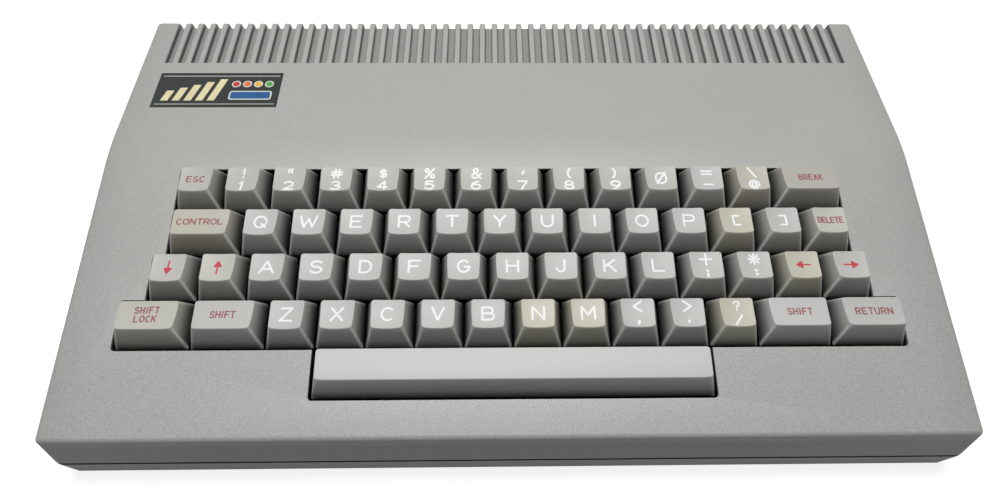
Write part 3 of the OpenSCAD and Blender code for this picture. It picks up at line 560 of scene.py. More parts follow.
def stripes(tree, where, pitch_mm):
    """Soft stripes across X, with as many millimetres from one to the next."""
    return add_node(tree, "TexWave", {
        "Vector": where, "Scale": 0.31 / (pitch_mm * MM), "Distortion": 0.0},
        bands_direction="X").outputs["Fac"]


def green_laminate(name):
    """Glass-fibre board under green lacquer: copper tracks show through as lighter lines."""
    material, tree = new_material(name)
    where = place(tree)
    across = stripes(tree, where, 2.54)
    long_patches = add_node(tree, "Mapping", {"Vector": where, "Scale": (1, 0.35, 1)}).outputs[0]
    gate = noise(tree, 17, 1, 0.5, long_patches)
    tracks = product(tree, spread(tree, across, 0.62, 0.72), spread(tree, gate, 0.48, 0.52))
    weave = noise(tree, 0.8, 2, 0.5, where)
    return finish_material(material, {
        "Base Color": blend_colours(tree, tracks, linear("#2F5A38"), linear("#4C7F4B")),
        "Roughness": 0.32, "IOR": 1.5, "Coat Weight": 0.3, "Coat Roughness": 0.15,
        "Normal": bump(tree, maths(tree, "ADD", tracks, weave), 0.03, 0.5)})


def moulded_dark(name, colour, roughness, size_mm=0.5, worn="#36383B", specular=0.5):
    """Dark moulded resin or nylon with a fine grain that breaks its gloss."""
    material, tree = new_material(name)
    grain = noise(tree, size_mm, 3, 0.6)
    return finish_material(material, {
        "Base Color": two_tone(tree, noise(tree, 7, 3), 0.35, 0.7, colour, worn),
        "Roughness": uneven(tree, grain, roughness, 0.05, 0.08), "IOR": 1.52,
        "Specular IOR Level": specular, "Normal": bump(tree, grain, 0.02, 0.5)})


def striped_pvc(name):
    """Ribbon cable: parallel insulated strands, a groove every 1.27 mm."""
    material, tree = new_material(name)
    strands = stripes(tree, place(tree), 1.27)
    return finish_material(material, {
        "Base Color": blend_colours(tree, strands, linear("#6D7076"), linear("#9A9DA2")),
        "Roughness": 0.45, "Normal": bump(tree, strands, 0.25, 0.8)})


def coloured_sleeve(name):
    """Shrunk vinyl sleeves and dipped lacquer of small parts: blue with paler bands."""
    material, tree = new_material(name)
    return finish_material(material, {
        "Base Color": two_tone(tree, noise(tree, 9, 0), 0.5, 0.56, "#2F4E78", "#3B5F8A"),
        "Roughness": 0.35, "IOR": 1.5, "Normal": bump(tree, noise(tree, 0.9, 2), 0.02, 0.4)})


def key_abs(name, colour, patch=0.012):
    """The finer, smoother ABS of the caps, with painted shade toward the skirt and a painted
    highlight along the corners.
    """
    return moulded_abs(name, colour, 0.35, 0.015, KEY_ROUGHNESS, patch, key=True)


case_abs = moulded_abs("case_abs_moulded", "#B4B4B1", 0.46, 0.035, 0.48, 0.022, "#ADAEA9", 0.5,
                       joint=True, grooves=True)
tray_abs = moulded_abs("tray_abs_moulded", "#A3A49F", 0.55, 0.035, 0.58, 0.022, joint=True)
white_ink = printed_ink("legend_ink_white", "#FFFFFF", "#F4F4F0")
red_ink = printed_ink("legend_ink_red", "#985257", "#A4666A")
bright_red_ink = printed_ink("legend_ink_bright_red", "#C63740", "#C8474E")
plunger_nylon = moulded_dark("plunger_nylon_moulded", "#1E2023", 0.5)
KEY_SKINS = {
    "grey": key_abs("key_abs_moulded", "#C7C6C2"),
    "bar": key_abs("space_bar_abs_moulded", "#CDCDCB"),
    "dull": key_abs("key_abs_moulded_dull", "#C0C0BA"),
    "worn": key_abs("key_abs_moulded_worn", "#B7B5AD", 0.02),
    "aged": yellowed_abs("key_abs_yellowed", "#C4C1AF", "#C9C7B8"),
    "beige": yellowed_abs("key_abs_beige", "#BFBCAC", "#C3C0B5"),
    "faint": yellowed_abs("key_abs_faintly_yellowed", "#C5C4B9", "#C9C8BF"),
}

# ---- Case halves ----


def corner_groups(faces, indices):
    """The faces around a point in groups that face much the same way, broadest first."""
    groups = []
    for i in sorted(indices, key=lambda i: -faces[i][1]):
        normal, area = faces[i]
        home = next((g for g in groups if g["facing"].dot(normal) > 0.64), None)
        if home is None:
            home = {"facing": normal, "least": 0.2 * area, "total": Vector(), "members": []}
            groups.append(home)
        if area >= home["least"]:
            home["total"] += normal * area
        home["members"].append(i)
    return groups


def flatten_broad_faces(piece):
    """Lets each corner's normal follow the broadest faces beside it, so that walls look flat."""
    mesh = piece.data
    around = [[] for _ in mesh.vertices]
    faces = [(face.normal.copy(), face.area) for face in mesh.polygons]
    for face in mesh.polygons:
        for point in face.vertices:
            around[point].append(face.index)
    facing = {}
    for point, indices in enumerate(around):
        for group in corner_groups(faces, indices):
            for i in group["members"]:
                facing[point, i] = (group["total"] or group["facing"]).normalized()
    beside = {}
    for face in mesh.polygons:
        for key in face.edge_keys:
            beside.setdefault(key, []).append(face.index)
    for line in mesh.edges:
        pair = beside.get(line.key, [])
        line.use_edge_sharp = len(pair) != 2 or any(
            facing[point, pair[0]].dot(facing[point, pair[1]]) < 0.9999 for point in line.vertices)
    mesh.normals_split_custom_set(
        [facing[point, face.index] for face in mesh.polygons for point in face.vertices])


def off_groove(x):
    """How far a place is from the middle of its groove, in millimetres to its right."""
    return (x + GROOVE_PITCH) % GROOVE_PITCH - GROOVE_PITCH / 2


def square_the_ribs(piece):
    """Takes the small bevels off the ribs' long edges, so that a rounder edge can replace them."""
    half = GROOVE_W / 2
    for point in piece.data.vertices:
        x, y, z = point.co / MM
        off = off_groove(x)
        inside = y > GROOVE_FRONT - 0.05 and z > TOP_Z - RIB_FALL and abs(x) < RIB_ENDS
        if inside and half < abs(off) < half + RIB_BEVEL:
            point.co.x += math.copysign(1, off) * (half - abs(off)) * MM


def clear_the_rib_feet(piece):
    """Leaves no edge across the flat deck just in front of the ribs, where rounding bends it."""
    line = GROOVE_FRONT - 2.0
    edit(piece)
    choose(piece, "face", lambda face: (
        face.normal.z > 0.999 and face.calc_center_median().z > (TOP_Z - 0.5) * MM))
    bpy.ops.mesh.bisect(plane_co=(0, line * MM, 0), plane_no=(0, 1, 0))
    bpy.ops.mesh.select_all(action="DESELECT")

    def spare(edge):
        near, far = sorted(point.co.y / MM for point in edge.verts)
        flat = len(edge.link_faces) == 2 and all(f.normal.z > 0.999 for f in edge.link_faces)
        return flat and near > line - 0.01 and far > line + 0.1

    choose(piece, "edge", spare)
    bpy.ops.mesh.dissolve_edges(use_verts=False)
    close_edit()


def is_outer_rib_edge(edge):
    """Whether an edge runs along a rib, on top of it, over the rear edge or down the rear wall."""
    ends = [point.co / MM for point in edge.verts]
    if len(edge.link_faces) != 2 or edge.calc_face_angle() <= math.radians(60):
        return False
    if any(abs(abs(off_groove(end.x)) - GROOVE_W / 2) >= 0.02 for end in ends):
        return False
    if not all(end.z > TOP_Z - 0.02 or end.y > REAR_Y - 2.4 for end in ends):
        return False
    if any(abs(end.z - (TOP_Z - GROOVE_DEEP)) < 0.05 for end in ends):
        return False
    return any(
        abs(face.normal.x) < 0.1 and (face.normal.z > 0.3 or face.normal.y > 0.9)
        and face.calc_center_median().z / MM > TOP_Z - RIB_FALL for face in edge.link_faces)


def round_the_ribs(piece):
    edit(piece)
    choose(piece, "edge", is_outer_rib_edge)
    bpy.ops.mesh.bevel(offset=RIB_RADIUS * MM, segments=4, profile=0.5, affect="EDGES",
                       clamp_overlap=True)
    close_edit()


def round_the_fold(piece):
    """Rounds the fold between the level rear deck and the slope, some millimetres either way."""
    edit(piece)
    for i in range(-4, 5):
        bpy.ops.mesh.select_all(action="SELECT")
        bpy.ops.mesh.bisect(plane_co=(0, (FOLD_Y + i * FOLD_REACH / 4) * MM, 0),
                            plane_no=(0, 1, 0))
    close_edit()
    for point in piece.data.vertices:
        share = 1 - abs(point.co.y / MM - FOLD_Y) / FOLD_REACH
        if share > 0 and point.co.z / MM > TOP_Z - 6:
            point.co.z -= FOLD_REACH / 4 * math.tan(DECK_SLOPE) * share ** 2 * MM


def softened(node, name, radius_mm, ribs=False):
    """A copy of a CAD shell with merged faces and every sharp edge rounded, as in moulding."""
    piece = copy_of(frame["nodes"][node], name)
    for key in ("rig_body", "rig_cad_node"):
        if key in piece:
            del piece[key]
    piece.parent = None
    piece.matrix_world = Matrix.Identity(4)
    piece.data.materials.clear()
    if ribs:
        square_the_ribs(piece)
    edit(piece)
    bpy.ops.mesh.select_all(action="SELECT")
    bpy.ops.mesh.remove_doubles(threshold=0.002 * MM)
    bpy.ops.mesh.dissolve_limited(angle_limit=math.radians(0.6))
    close_edit()
    if ribs:
        clear_the_rib_feet(piece)
        round_the_ribs(piece)
        round_the_fold(piece)
    soften_edges(piece, radius_mm, 32)
    smooth(piece, 40)
    flatten_broad_faces(piece)
    return piece


def make_case():
    for node, name, slot, skin in (("upper_case", "upper_shell", "case_plastic", case_abs),
                                   ("base_tray", "lower_tray", "tray_plastic", tray_abs)):
        shell = softened(node, name, EDGE_RADIUS, ribs=node == "upper_case")
        shell.data.materials.append(skin)
        finished(shell, "case", slot, [node])


# ---- Badge: an enamelled plate with inlaid bars, discs and thin bright lines ----
BAR_HEIGHTS = ((-24.6, 6.2), (-19.4, 8.0), (-14.2, 9.8), (-9.0, 11.6), (-3.8, 13.4))
BAR_W, BAR_FOOT, BAR_LEAN = 3.3, -6.4, 0.28
DISC_COLOURS = ((7.6, "#C43B38"), (12.6, "#E8713A"), (17.6, "#F0BC3E"), (22.6, "#52A84C"))
DISC_Y, DISC_R, DISC_RIM_R = 3.9, 1.5, 2.05
BLUE_X, BLUE_Y = 15.1, -3.2
# Heights over the plate: every inlay starts a little inside it
INLAY_LOW, FLUSH, PROUD = -0.03, 0.03, 0.05


def flat_inlay(name, outlines, high, material):
    """Flat shapes in millimetres, filled and given a thickness up to high."""
    data = bpy.data.curves.new(name, "CURVE")
    data.dimensions = "2D"
    data.fill_mode = "BOTH"
    data.extrude = (high - INLAY_LOW) / 2 * MM
    for outline in outlines:
        spline = data.splines.new("POLY")
        spline.points.add(len(outline) - 1)
        for point, (x, y) in zip(spline.points, outline):
            point.co = (x * MM, y * MM, 0, 1)
        spline.use_cyclic_u = True
    made = meshed(data, name)
    made.data.transform(Matrix.Translation((0, 0, (INLAY_LOW + high) / 2 * MM)))
    made.data.materials.clear()
    made.data.materials.append(material)
    return made


def leaning_bar(x, tall):
    top, shift = BAR_FOOT + tall, tall * BAR_LEAN
    return [(x, BAR_FOOT), (x + BAR_W, BAR_FOOT), (x + BAR_W + shift, top), (x + shift, top)]


def pill(cx, cy, half_x, half_y, round_mm):
    """A rectangle with round corners."""
    corners = ((1, 1, 0), (-1, 1, 90), (-1, -1, 180), (1, -1, 270))
    return [point for sx, sy, start in corners for point in bow(
        cx + sx * (half_x - round_mm), cy + sy * (half_y - round_mm),
        round_mm, round_mm, start, start + 90)]


def disc(cx, radius):
    return pill(cx, DISC_Y, radius, radius, radius - 0.01)


def make_badge():
    node = frame["nodes"]["badge_plate"]
    spots = [node.matrix_world @ Vector(corner) / MM for corner in node.bound_box]
    low = [min(spot[i] for spot in spots) for i in range(3)]
    high = [max(spot[i] for spot in spots) for i in range(3)]
    cx, cy, top = (low[0] + high[0]) / 2, (low[1] + high[1]) / 2, high[2]
    half_x, half_y = (high[0] - low[0]) / 2, (high[1] - low[1]) / 2
    plate = softened("badge_plate", "badge", BADGE_RADIUS)
    plate.data.materials.append(enamel("badge_enamel_dark", "#141A18", "#1D2421"))
    bright = brushed_metal("badge_line_bright", "#C9CCCA", 0.3, (30, 1, 1), 3)
    pale = enamel("badge_enamel_pale", "#E4E6DE", "#D6D8D0")
    cream = enamel("badge_enamel_cream", "#EFE5B8", "#E2D8AC")
    blue = enamel("badge_enamel_blue", "#1F5C99", "#1A5084")
    lines = [pill(0, half_y - 1.5, half_x - 1.0, 0.22, 0.2),
             pill(0, 1.9 - half_y, half_x - 1.0, 0.18, 0.16)]
    rims = [disc(x, DISC_RIM_R) for x, _ in DISC_COLOURS] + [pill(BLUE_X, BLUE_Y, 9.6, 2.75, 1.3)]
    inlays = [
        flat_inlay("badge_lines", lines, PROUD, bright),
        flat_inlay("badge_bars", [leaning_bar(x, tall) for x, tall in BAR_HEIGHTS], FLUSH, cream),
        flat_inlay("badge_rims", rims, FLUSH, pale),
        flat_inlay("badge_blue", [pill(BLUE_X, BLUE_Y, 8.95, 2.1, 0.9)], PROUD, blue)]
    for i, (x, colour) in enumerate(DISC_COLOURS):
        inlays.append(flat_inlay(f"badge_disc_{i}", [disc(x, DISC_R)], PROUD,
                                 enamel(f"badge_enamel_{i}", colour, colour)))
    for inlay in inlays:
        inlay.data.transform(Matrix.Translation((cx * MM, cy * MM, top * MM)))
    join(plate, inlays)
    finished(plate, "case", "badge", ["badge_plate"])


# ---- Keycaps ----
TOP_FRONT = CAP_BASE - FRONT_TAPER
BACK_RATE = BACK_TAPER / CAP_HEIGHT * math.tan(CAP_TILT)
TOP_BACK = (CAP_BASE - BACK_TAPER + BACK_RATE * TOP_FRONT) / (1 - BACK_RATE)
# Half the top's size, and how far from a corner the painted ridge highlight reaches
TOP_HALF_X, TOP_HALF_Y, HIGHLIGHT_REACH = 7.5, 6.5, 0.7
# Where the rings of the rim and of the flanks lie: degrees of turn, and shares of the height
RIM_TURNS = (30, 60, 90)
FLANK_SHARES = (0.1, 0.25, 0.4, 0.55, 0.7, 0.85, 1.0)


class CapShape:
    """A keycap of some width: its outline at each height and its leaning, hollowed top."""

    def __init__(self, units):
        self.units = units
        self.side_taper = BAR_SIDE_TAPER if units > 2 else SIDE_TAPER
        self.back_taper = BAR_BACK_TAPER if units > 2 else BACK_TAPER
        self.extra = (units - 1) * PITCH / 2
        self.top_s = (TOP_BACK - TOP_FRONT) / 2
        self.half_length = (TOP_BACK + TOP_FRONT) / 2 / math.cos(CAP_TILT)
        self.top_w = CAP_RISE - self.half_length * math.sin(CAP_TILT)
        half = CAP_BASE - SIDE_TAPER * (self.top_w + CAP_SINK) / CAP_HEIGHT
        self.sag = (half ** 2 + self.half_length ** 2) / (2 * DISH_R)
        self.groove = self.half_length ** 2 / (2 * DISH_R)

    def hollow(self, x, a):
        """Height of the top's surface over its leaning plane, at x across and a up the plane."""
        if self.units > 2:
            return -0.35 * (a / self.half_length) ** 2 * (1 if a < 0 else 0.4)
        if self.units > 1:
            return DISH_R - self.groove - math.sqrt(DISH_R ** 2 - a * a)
        return DISH_R - self.sag - math.sqrt(DISH_R ** 2 - x * x - a * a)

    def on_top(self, x, a, b):
        """A point of the leaning top's frame in the keycap's own frame."""
        c, s = math.cos(CAP_TILT), math.sin(CAP_TILT)
        return Vector((x, self.top_s + a * c + b * s, self.top_w - a * s + b * c))

    def surface(self, x, s, w):
        """The height of the top's surface over the plan point x, s, from a first guess w."""
        c, n = math.cos(CAP_TILT), math.sin(CAP_TILT)
        a = (s - self.top_s) * c - (w - self.top_w) * n
        for _ in range(4):
            b = self.hollow(x, a)
            a = (s - self.top_s - b * n) / c
        return self.top_w - a * n + b * c

    def outline(self, u, v, w, inset=0.0):
        """The plan point on the cap's side at height w, in the direction of u, v on a square."""
        share = (w + CAP_SINK) / CAP_HEIGHT
        half = CAP_BASE + self.extra - self.side_taper * share - inset
        front = CAP_BASE - FRONT_TAPER * share - inset
        back = CAP_BASE - self.back_taper * share - inset
        corner = 1.15 + 0.3 * (1 - share) if v > 0 else 0.45 + 0.75 * share ** 2
        radius = max(0.05, corner - inset)
        x = abs(u) * half
        middle, reach = (back - front) / 2, (back + front) / 2
        y = abs(v) * reach
        dx, dy = x - (half - radius), y - (reach - radius)
        if dx > 0 and dy > 0:
            long = math.hypot(dx, dy)
            x = half - radius + dx / long * radius
            y = reach - radius + dy / long * radius
        if v < 0:
            y -= FRONT_BOW * share * max(0.0, (x - half + BOW_REACH) / BOW_REACH) ** 2
        return math.copysign(x, u), middle + math.copysign(y, v)

    def rim(self, u, v, inset, drop):
        """A point of the rounded rim: inset from the side, and drop below the top's surface."""
        w = CAP_RISE
        for _ in range(6):
            x, s = self.outline(u, v, w, inset)
            w = self.surface(x, s, w) - drop
        return Vector((x, s, w))


def eased(value):
    """Spaces a grid's lines more closely near its border, where the corners are round."""
    return math.sin(value * math.pi / 2)


def skirt_shade_share(u, v, share):
    """Painted shade on a cap's side: the flanks stand close to their neighbours and take more of
    it, the front is open.
    """
    if v < -0.9 and abs(u) < 0.99:
        return 1 - (1 - share) ** 0.65
    return 1 - min(1.0, 1.35 * (1 - share) ** 1.7)


def extrude_ring(piece, where, extra, share=0.0):
    """Extrudes the border, moves its new points to where(u, v) and marks their painted skirt shade
    and ridge highlight.
    """
    bpy.ops.mesh.extrude_edges_move()
    net = bmesh.from_edit_mesh(piece.data)
    square = net.verts.layers.float_vector["square"]
    skirt_shade, ridge = net.verts.layers.float["skirt_shade"], net.verts.layers.float["ridge"]
    for point in net.verts:
        if point.select:
            u, v = point[square][:2]
            point.co = where(u, v) * MM
            point[skirt_shade] = skirt_shade_share(u, v, share)
            # A painted highlight along the corner ridges, strongest on the front corners
            off = (1 - abs(u)) * (TOP_HALF_X + extra) + (1 - abs(v)) * TOP_HALF_Y
            highlight = max(0.0, min(1.0, 1.5 - off / HIGHLIGHT_REACH)) * (1 - 0.5 * share)
            point[ridge] = (highlight if v < 0 else 0.4 * highlight) if share else 0.0
    bmesh.update_edit_mesh(piece.data)


def keycap(units):
    """A keycap: the top's net, its rounded rim, the four flanks, and the hollow under it."""
    shape = CapShape(units)
    across = {1: 18, 1.5: 24}.get(units, 48)
    bpy.ops.mesh.primitive_grid_add(x_subdivisions=across, y_subdivisions=18, size=2)
    cap = bpy.context.active_object
    edit(cap)
    net = bmesh.from_edit_mesh(cap.data)
    square = net.verts.layers.float_vector.new("square")
    net.verts.layers.float.new("skirt_shade")
    net.verts.layers.float.new("ridge")
    middle = Vector((0, shape.top_s, 0))
    for point in net.verts:
        u, v = eased(point.co.x), eased(point.co.y)
        ring = max(abs(u), abs(v))
        if ring < 1e-6:
            x, s = 0.0, shape.top_s
        else:
            edge = shape.rim(u / ring, v / ring, LIP_R, 0)
            x, s = ((1 - ring) * middle + ring * edge).xy
        w = shape.surface(x, s, shape.top_w)
        w = shape.surface(x, s, w)
        point[square] = (u, v, 0)
        point.co = Vector((x, s, w)) * MM
    bmesh.update_edit_mesh(cap.data)
    bpy.ops.mesh.select_all(action="SELECT")
    bpy.ops.mesh.region_to_loop()
    for turn in RIM_TURNS:
        lean = math.radians(turn)
        extrude_ring(cap, lambda u, v: shape.rim(
            u, v, LIP_R * (1 - math.sin(lean)), LIP_R * (1 - math.cos(lean))), shape.extra)
    for share in FLANK_SHARES:
        def flank(u, v):
            low = shape.rim(u, v, 0, LIP_R).z
            w = low + (-CAP_SINK - low) * share
            return Vector((*shape.outline(u, v, w), w))
        extrude_ring(cap, flank, shape.extra, share)
    for height in (-CAP_SINK, CEILING):
        extrude_ring(cap, lambda u, v: Vector((
            *shape.outline(u, v, height, CAP_WALL), height)), 0)
    bpy.ops.mesh.edge_face_add()
    bpy.ops.mesh.select_all(action="SELECT")
    bpy.ops.mesh.normals_make_consistent(inside=False)
    close_edit()
    cap.data.attributes.remove(cap.data.attributes["square"])
    smooth(cap, 32)
    return cap, shape


def plunger():
    """The square plunger under a cap, with its neck, as it goes down into the switch."""
    low, neck = PLUNGER_LOW, PLUNGER_NECK
    bpy.ops.mesh.primitive_cube_add(size=1, location=(0, 0, (low + neck) / 2 * MM))
    made = bpy.context.active_object
    made.scale = (PLUNGER_W * MM, PLUNGER_W * MM, (neck - low) * MM)
    bpy.ops.object.transform_apply(location=True, rotation=True, scale=True)
    edit(made)
    choose(made, "face", lambda face: face.normal.z > 0.9)
    bpy.ops.mesh.inset(thickness=1.0 * MM)
    bpy.ops.mesh.extrude_region_move(TRANSFORM_OT_translate={
        "value": (0, 0, (CEILING - neck + 0.4) * MM)})
    close_edit()
    soften_edges(made, 0.25, 40)
    smooth(made, 35)
    return made


# ---- Legends: a thin round-stroke alphabet, each glyph in a box one wide and one high ----
S_CURVE = bow(.5, .75, .45, .25, 25, 270) + bow(.5, .25, .5, .25, 90, -155)[1:]
P_BOWL = [(0, 0), (0, 1), (.64, 1)] + bow(.64, .73, .34, .27, 90, -90) + [(0, .46)]
RING = bow(.5, .5, .54, .5, 90, 450)
GLYPHS = {
    "A": [[(0, 0), (.5, 1), (1, 0)], [(.18, .34), (.82, .34)]],
    "B": [[(0, 0), (0, 1), (.6, 1)] + bow(.6, .76, .3, .24, 90, -90) + [(0, .52)],
          [(.55, .52)] + bow(.64, .26, .36, .26, 90, -90) + [(0, 0)]],
    "C": [bow(.52, .5, .52, .5, 48, 312)],
    "D": [[(0, 0), (0, 1), (.45, 1)] + bow(.45, .5, .55, .5, 90, -90) + [(0, 0)]],
    "E": [[(.95, 1), (0, 1), (0, 0), (.95, 0)], [(0, .52), (.8, .52)]],
    "F": [[(.95, 1), (0, 1), (0, 0)], [(0, .52), (.8, .52)]],
    "G": [bow(.52, .5, .52, .5, 48, 352) + [(1.02, .46), (.6, .46)]],
    "H": [[(0, 0), (0, 1)], [(1, 0), (1, 1)], [(0, .52), (1, .52)]],
    "I": [[(.5, 0), (.5, 1)]],
    "J": [[(.8, 1), (.8, .35)] + bow(.45, .35, .35, .35, 0, -170)],
    "K": [[(0, 0), (0, 1)], [(.95, 1), (0, .38)], [(.36, .62), (1, 0)]],
    "L": [[(0, 1), (0, 0), (.95, 0)]],
    "M": [[(0, 0), (0, 1), (.5, .35), (1, 1), (1, 0)]],
    "N": [[(0, 0), (0, 1), (1, 0), (1, 1)]],
    "O": [RING],
    "P": [P_BOWL],
    "Q": [RING, [(.62, .34), (.98, 0)]],
    "R": [P_BOWL, [(.52, .46), (.98, 0)]],
    "S": [S_CURVE],
    "T": [[(0, 1), (1, 1)], [(.5, 1), (.5, 0)]],
    "U": [[(0, 1), (0, .42)] + bow(.5, .42, .5, .42, 180, 360) + [(1, 1)]],
    "V": [[(0, 1), (.5, 0), (1, 1)]],
    "W": [[(-.05, 1), (.22, 0), (.5, .8), (.78, 0), (1.05, 1)]],
    "X": [[(0, 0), (1, 1)], [(0, 1), (1, 0)]],
    "Y": [[(0, 1), (.5, .46), (1, 1)], [(.5, .46), (.5, 0)]],
    "Z": [[(.03, 1), (.97, 1), (0, 0), (1, 0)]],
    "0": [bow(.5, .5, .5, .5, 90, 450), [(.08, -.04), (.92, 1.04)]],
    "1": [[(.32, .8), (.58, 1), (.5, 0)]],
    "2": [bow(.5, .7, .47, .3, 165, -35) + [(.03, 0), (1, 0)]],
    "3": [bow(.47, .75, .42, .25, 150, -90) + bow(.47, .25, .5, .25, 90, -150)[1:]],
    "4": [[(.72, 0), (.72, 1), (0, .28), (1, .28)]],
    "5": [[(.92, 1), (.16, 1), (.1, .56)] + bow(.48, .34, .5, .34, 128, -150)],
    "6": [bow(.9, .32, .88, .68, 100, 180) + bow(.5, .31, .48, .31, 180, 540)],
    "7": [[(.02, 1), (1, 1), (.4, 0)]],
    "8": [bow(.5, .76, .4, .24, -90, 270), bow(.5, .26, .5, .26, 90, 450)],
    "9": [bow(.1, .68, .88, .68, -80, 0) + bow(.5, .69, .48, .31, 0, 360)],
    "!": [[(.56, 1), (.53, .46)], [(.52, .15), (.52, .12)]],
    "\"": [[(.35, 1), (.33, .62)], [(.67, 1), (.65, .62)]],
    "#": [[(.26, 0), (.38, 1)], [(.62, 0), (.74, 1)],
          [(.04, .66), (1, .66)], [(0, .34), (.96, .34)]],
    "$": [S_CURVE, [(.5, 1.14), (.5, -.14)]],
    "%": [[(.02, 0), (.98, 1)], bow(.2, .8, .19, .17, 0, 360), bow(.8, .2, .19, .17, 0, 360)],
    "&": [[(.98, 0), (.24, .66)] + bow(.46, .8, .24, .2, 215, -40) + [(.16, .4)]
          + bow(.4, .22, .34, .22, 140, 330) + [(.98, .44)]],
    "'": [[(.64, .76), (.5, .42)]],
    "(": [bow(1.12, .5, .7, .62, 130, 230)],
    ")": [bow(-.12, .5, .7, .62, 50, -50)],
    "=": [[(0, .66), (1, .66)], [(0, .34), (1, .34)]],
    "-": [[(0, .5), (1, .5)]],
    "\\": [[(.12, 1), (.88, 0)]],
    "@": [bow(.5, .5, .55, .5, -62, -360) + bow(.89, .5, .16, .22, 0, -150),
          bow(.49, .5, .25, .25, 30, 390), [(.74, .74), (.74, .42)]],
    "[": [[(.8, 1), (.25, 1), (.25, 0), (.8, 0)]],
    "]": [[(.2, 1), (.75, 1), (.75, 0), (.2, 0)]],
    "+": [[(.5, .95), (.5, .05)], [(.05, .5), (.95, .5)]],
    ";": [bow(.5, .72, .07, .06, 0, 360), bow(.5, .32, .07, .06, 0, 360), [(.52, .3), (.42, .06)]],
    ":": [bow(.5, .76, .07, .06, 0, 360), bow(.5, .3, .07, .06, 0, 360)],
    "*": [[(.5, .95), (.5, .05)], [(.08, .5), (.92, .5)],
          [(.2, .82), (.8, .18)], [(.2, .18), (.8, .82)]],
    ",": [bow(.52, .42, .06, .05, 0, 360), [(.54, .4), (.42, .14)]],
    ".": [bow(.5, .42, .07, .06, 0, 360)],
    "<": [[(.9, .95), (.1, .5), (.9, .05)]],
    ">": [[(.1, .95), (.9, .5), (.1, .05)]],
    "?": [bow(.5, .74, .42, .26, 172, -62) + [(.5, .42), (.5, .3)], [(.5, .03), (.5, 0)]],
    "/": [[(.1, 0), (.9, 1)]],
    "right": [[(0, .5), (.6, .5)], [(.57, .73), (.57, .27), (.95, .5), (.57, .73)],
              [(.63, .63), (.63, .37), (.84, .5), (.63, .63)],
              [(.7, .57), (.7, .43)], [(.68, .5), (.84, .5)]],
}
# How much of a letter's room a sign takes in a word, where that is less than the whole
NARROW = {"I": 0.35}
# The up, down and left arrows are the right arrow turned
TURNED = {"up": lambda x, y: (1 - y, x), "down": lambda x, y: (y, 1 - x),
          "left": lambda x, y: (1 - x, 1 - y)}
for turned, turn in TURNED.items():
    GLYPHS[turned] = [[turn(x, y) for x, y in stroke] for stroke in GLYPHS["right"]]
# Signs that are drawn wider, narrower or lower than the rest
SIGN_SCALE = {
    "W": (1.36, 1), "A": (1.2, 1), "M": (1.12, 1), "?": (.68, .78), "$": (.68, .66),
    "#": (1.2, .82), "*": (1.4, 1.1), "+": (1.4, 1.15), "=": (1.1, 1), "[": (1, .84),
    "]": (1, .84)}


def split_at_corners(points):
    """Cuts a stroke where it turns sharply, so that each part keeps its full width."""
    parts, current = [], [points[0]]
    for before, here, after in zip(points, points[1:], points[2:] + [None]):
        current.append(here)
        if after is None:
            break
        first = Vector((here[0] - before[0], here[1] - before[1]))
        second = Vector((after[0] - here[0], after[1] - here[1]))
        if first.length > 1e-6 and second.length > 1e-6 and first.angle(second) > math.radians(38):
            parts.append(current)
            current = [here]
    parts.append(current)
    return parts


def glyph_strokes(sign, cx, cy, wide, high):
    """A glyph's strokes in millimetres, its box centred on cx, cy."""
    for stroke in GLYPHS[sign]:
        yield [(cx + (x - 0.5) * wide, cy + (y - 0.5) * high) for x, y in stroke]


def word_strokes(text, cx, cy, wide, high, gap):
    """A word's strokes: its letters share the width evenly, apart from the narrow ones."""
    shares = [NARROW.get(c, 1.0) for c in text]
    letter = (wide - gap * (len(text) - 1)) / sum(shares)
    left = cx - wide / 2
    for c, share in zip(text, shares):
        yield from glyph_strokes(c, left + letter * share / 2, cy, letter, high)
        left += letter * share + gap


def stroke_mesh(strokes, width, name):
    """Round-ended ridges along the strokes, as one mesh."""
    data = bpy.data.curves.new(name, "CURVE")
    data.dimensions = "3D"
    data.bevel_depth = width / 2 * MM
    data.bevel_resolution = 1
    data.use_fill_caps = True
    radius = width / 2
    for stroke in strokes:
        for part in split_at_corners(stroke):
            points = [Vector((x, y, 0)) for x, y in part]
            start = (points[0] - points[1]).normalized() * radius
            end = (points[-1] - points[-2]).normalized() * radius
            rings = [(points[0] + start * 0.96, 0.15), (points[0] + start * 0.7, 0.7)]
            rings += [(p, 1.0) for p in points]
            rings += [(points[-1] + end * 0.7, 0.7), (points[-1] + end * 0.96, 0.15)]
            spline = data.splines.new("POLY")
            spline.points.add(len(rings) - 1)
            for point, (co, share) in zip(spline.points, rings):
                point.co = (*(co * MM), 1)
                point.radius = share
    return meshed(data, name)


def legend_mesh(strokes, width, shape, name):
    """A legend laid on the hollow of a keycap's top, a hair above it."""
    made = stroke_mesh(strokes, width, name)
    for point in made.data.vertices:
        x, a = point.co.x / MM, point.co.y / MM
        lift = point.co.z / MM / (width / 2) * LEGEND_PROUD
        point.co = shape.on_top(x, a, shape.hollow(x, a) + lift) * MM
    smooth(made, 60)
    return made


# Where a key's signs stand on its top: centre and size in millimetres
LETTER_BOX = (0.0, 0.1, 4.4, 5.0)
UPPER_BOX = (0.0, 2.65, 3.7, 4.5)
LOWER_BOX = (0.0, -3.2, 3.7, 3.9)
ARROW_BOX = (0.0, 0.1, 5.6, 5.6)
WORD_Y = 0.1


def lone_sign(sign, box):
    cx, cy, wide, high = box
    across, along = SIGN_SCALE.get(sign, (1, 1))
    return glyph_strokes(sign, cx, cy, wide * across, high * along)


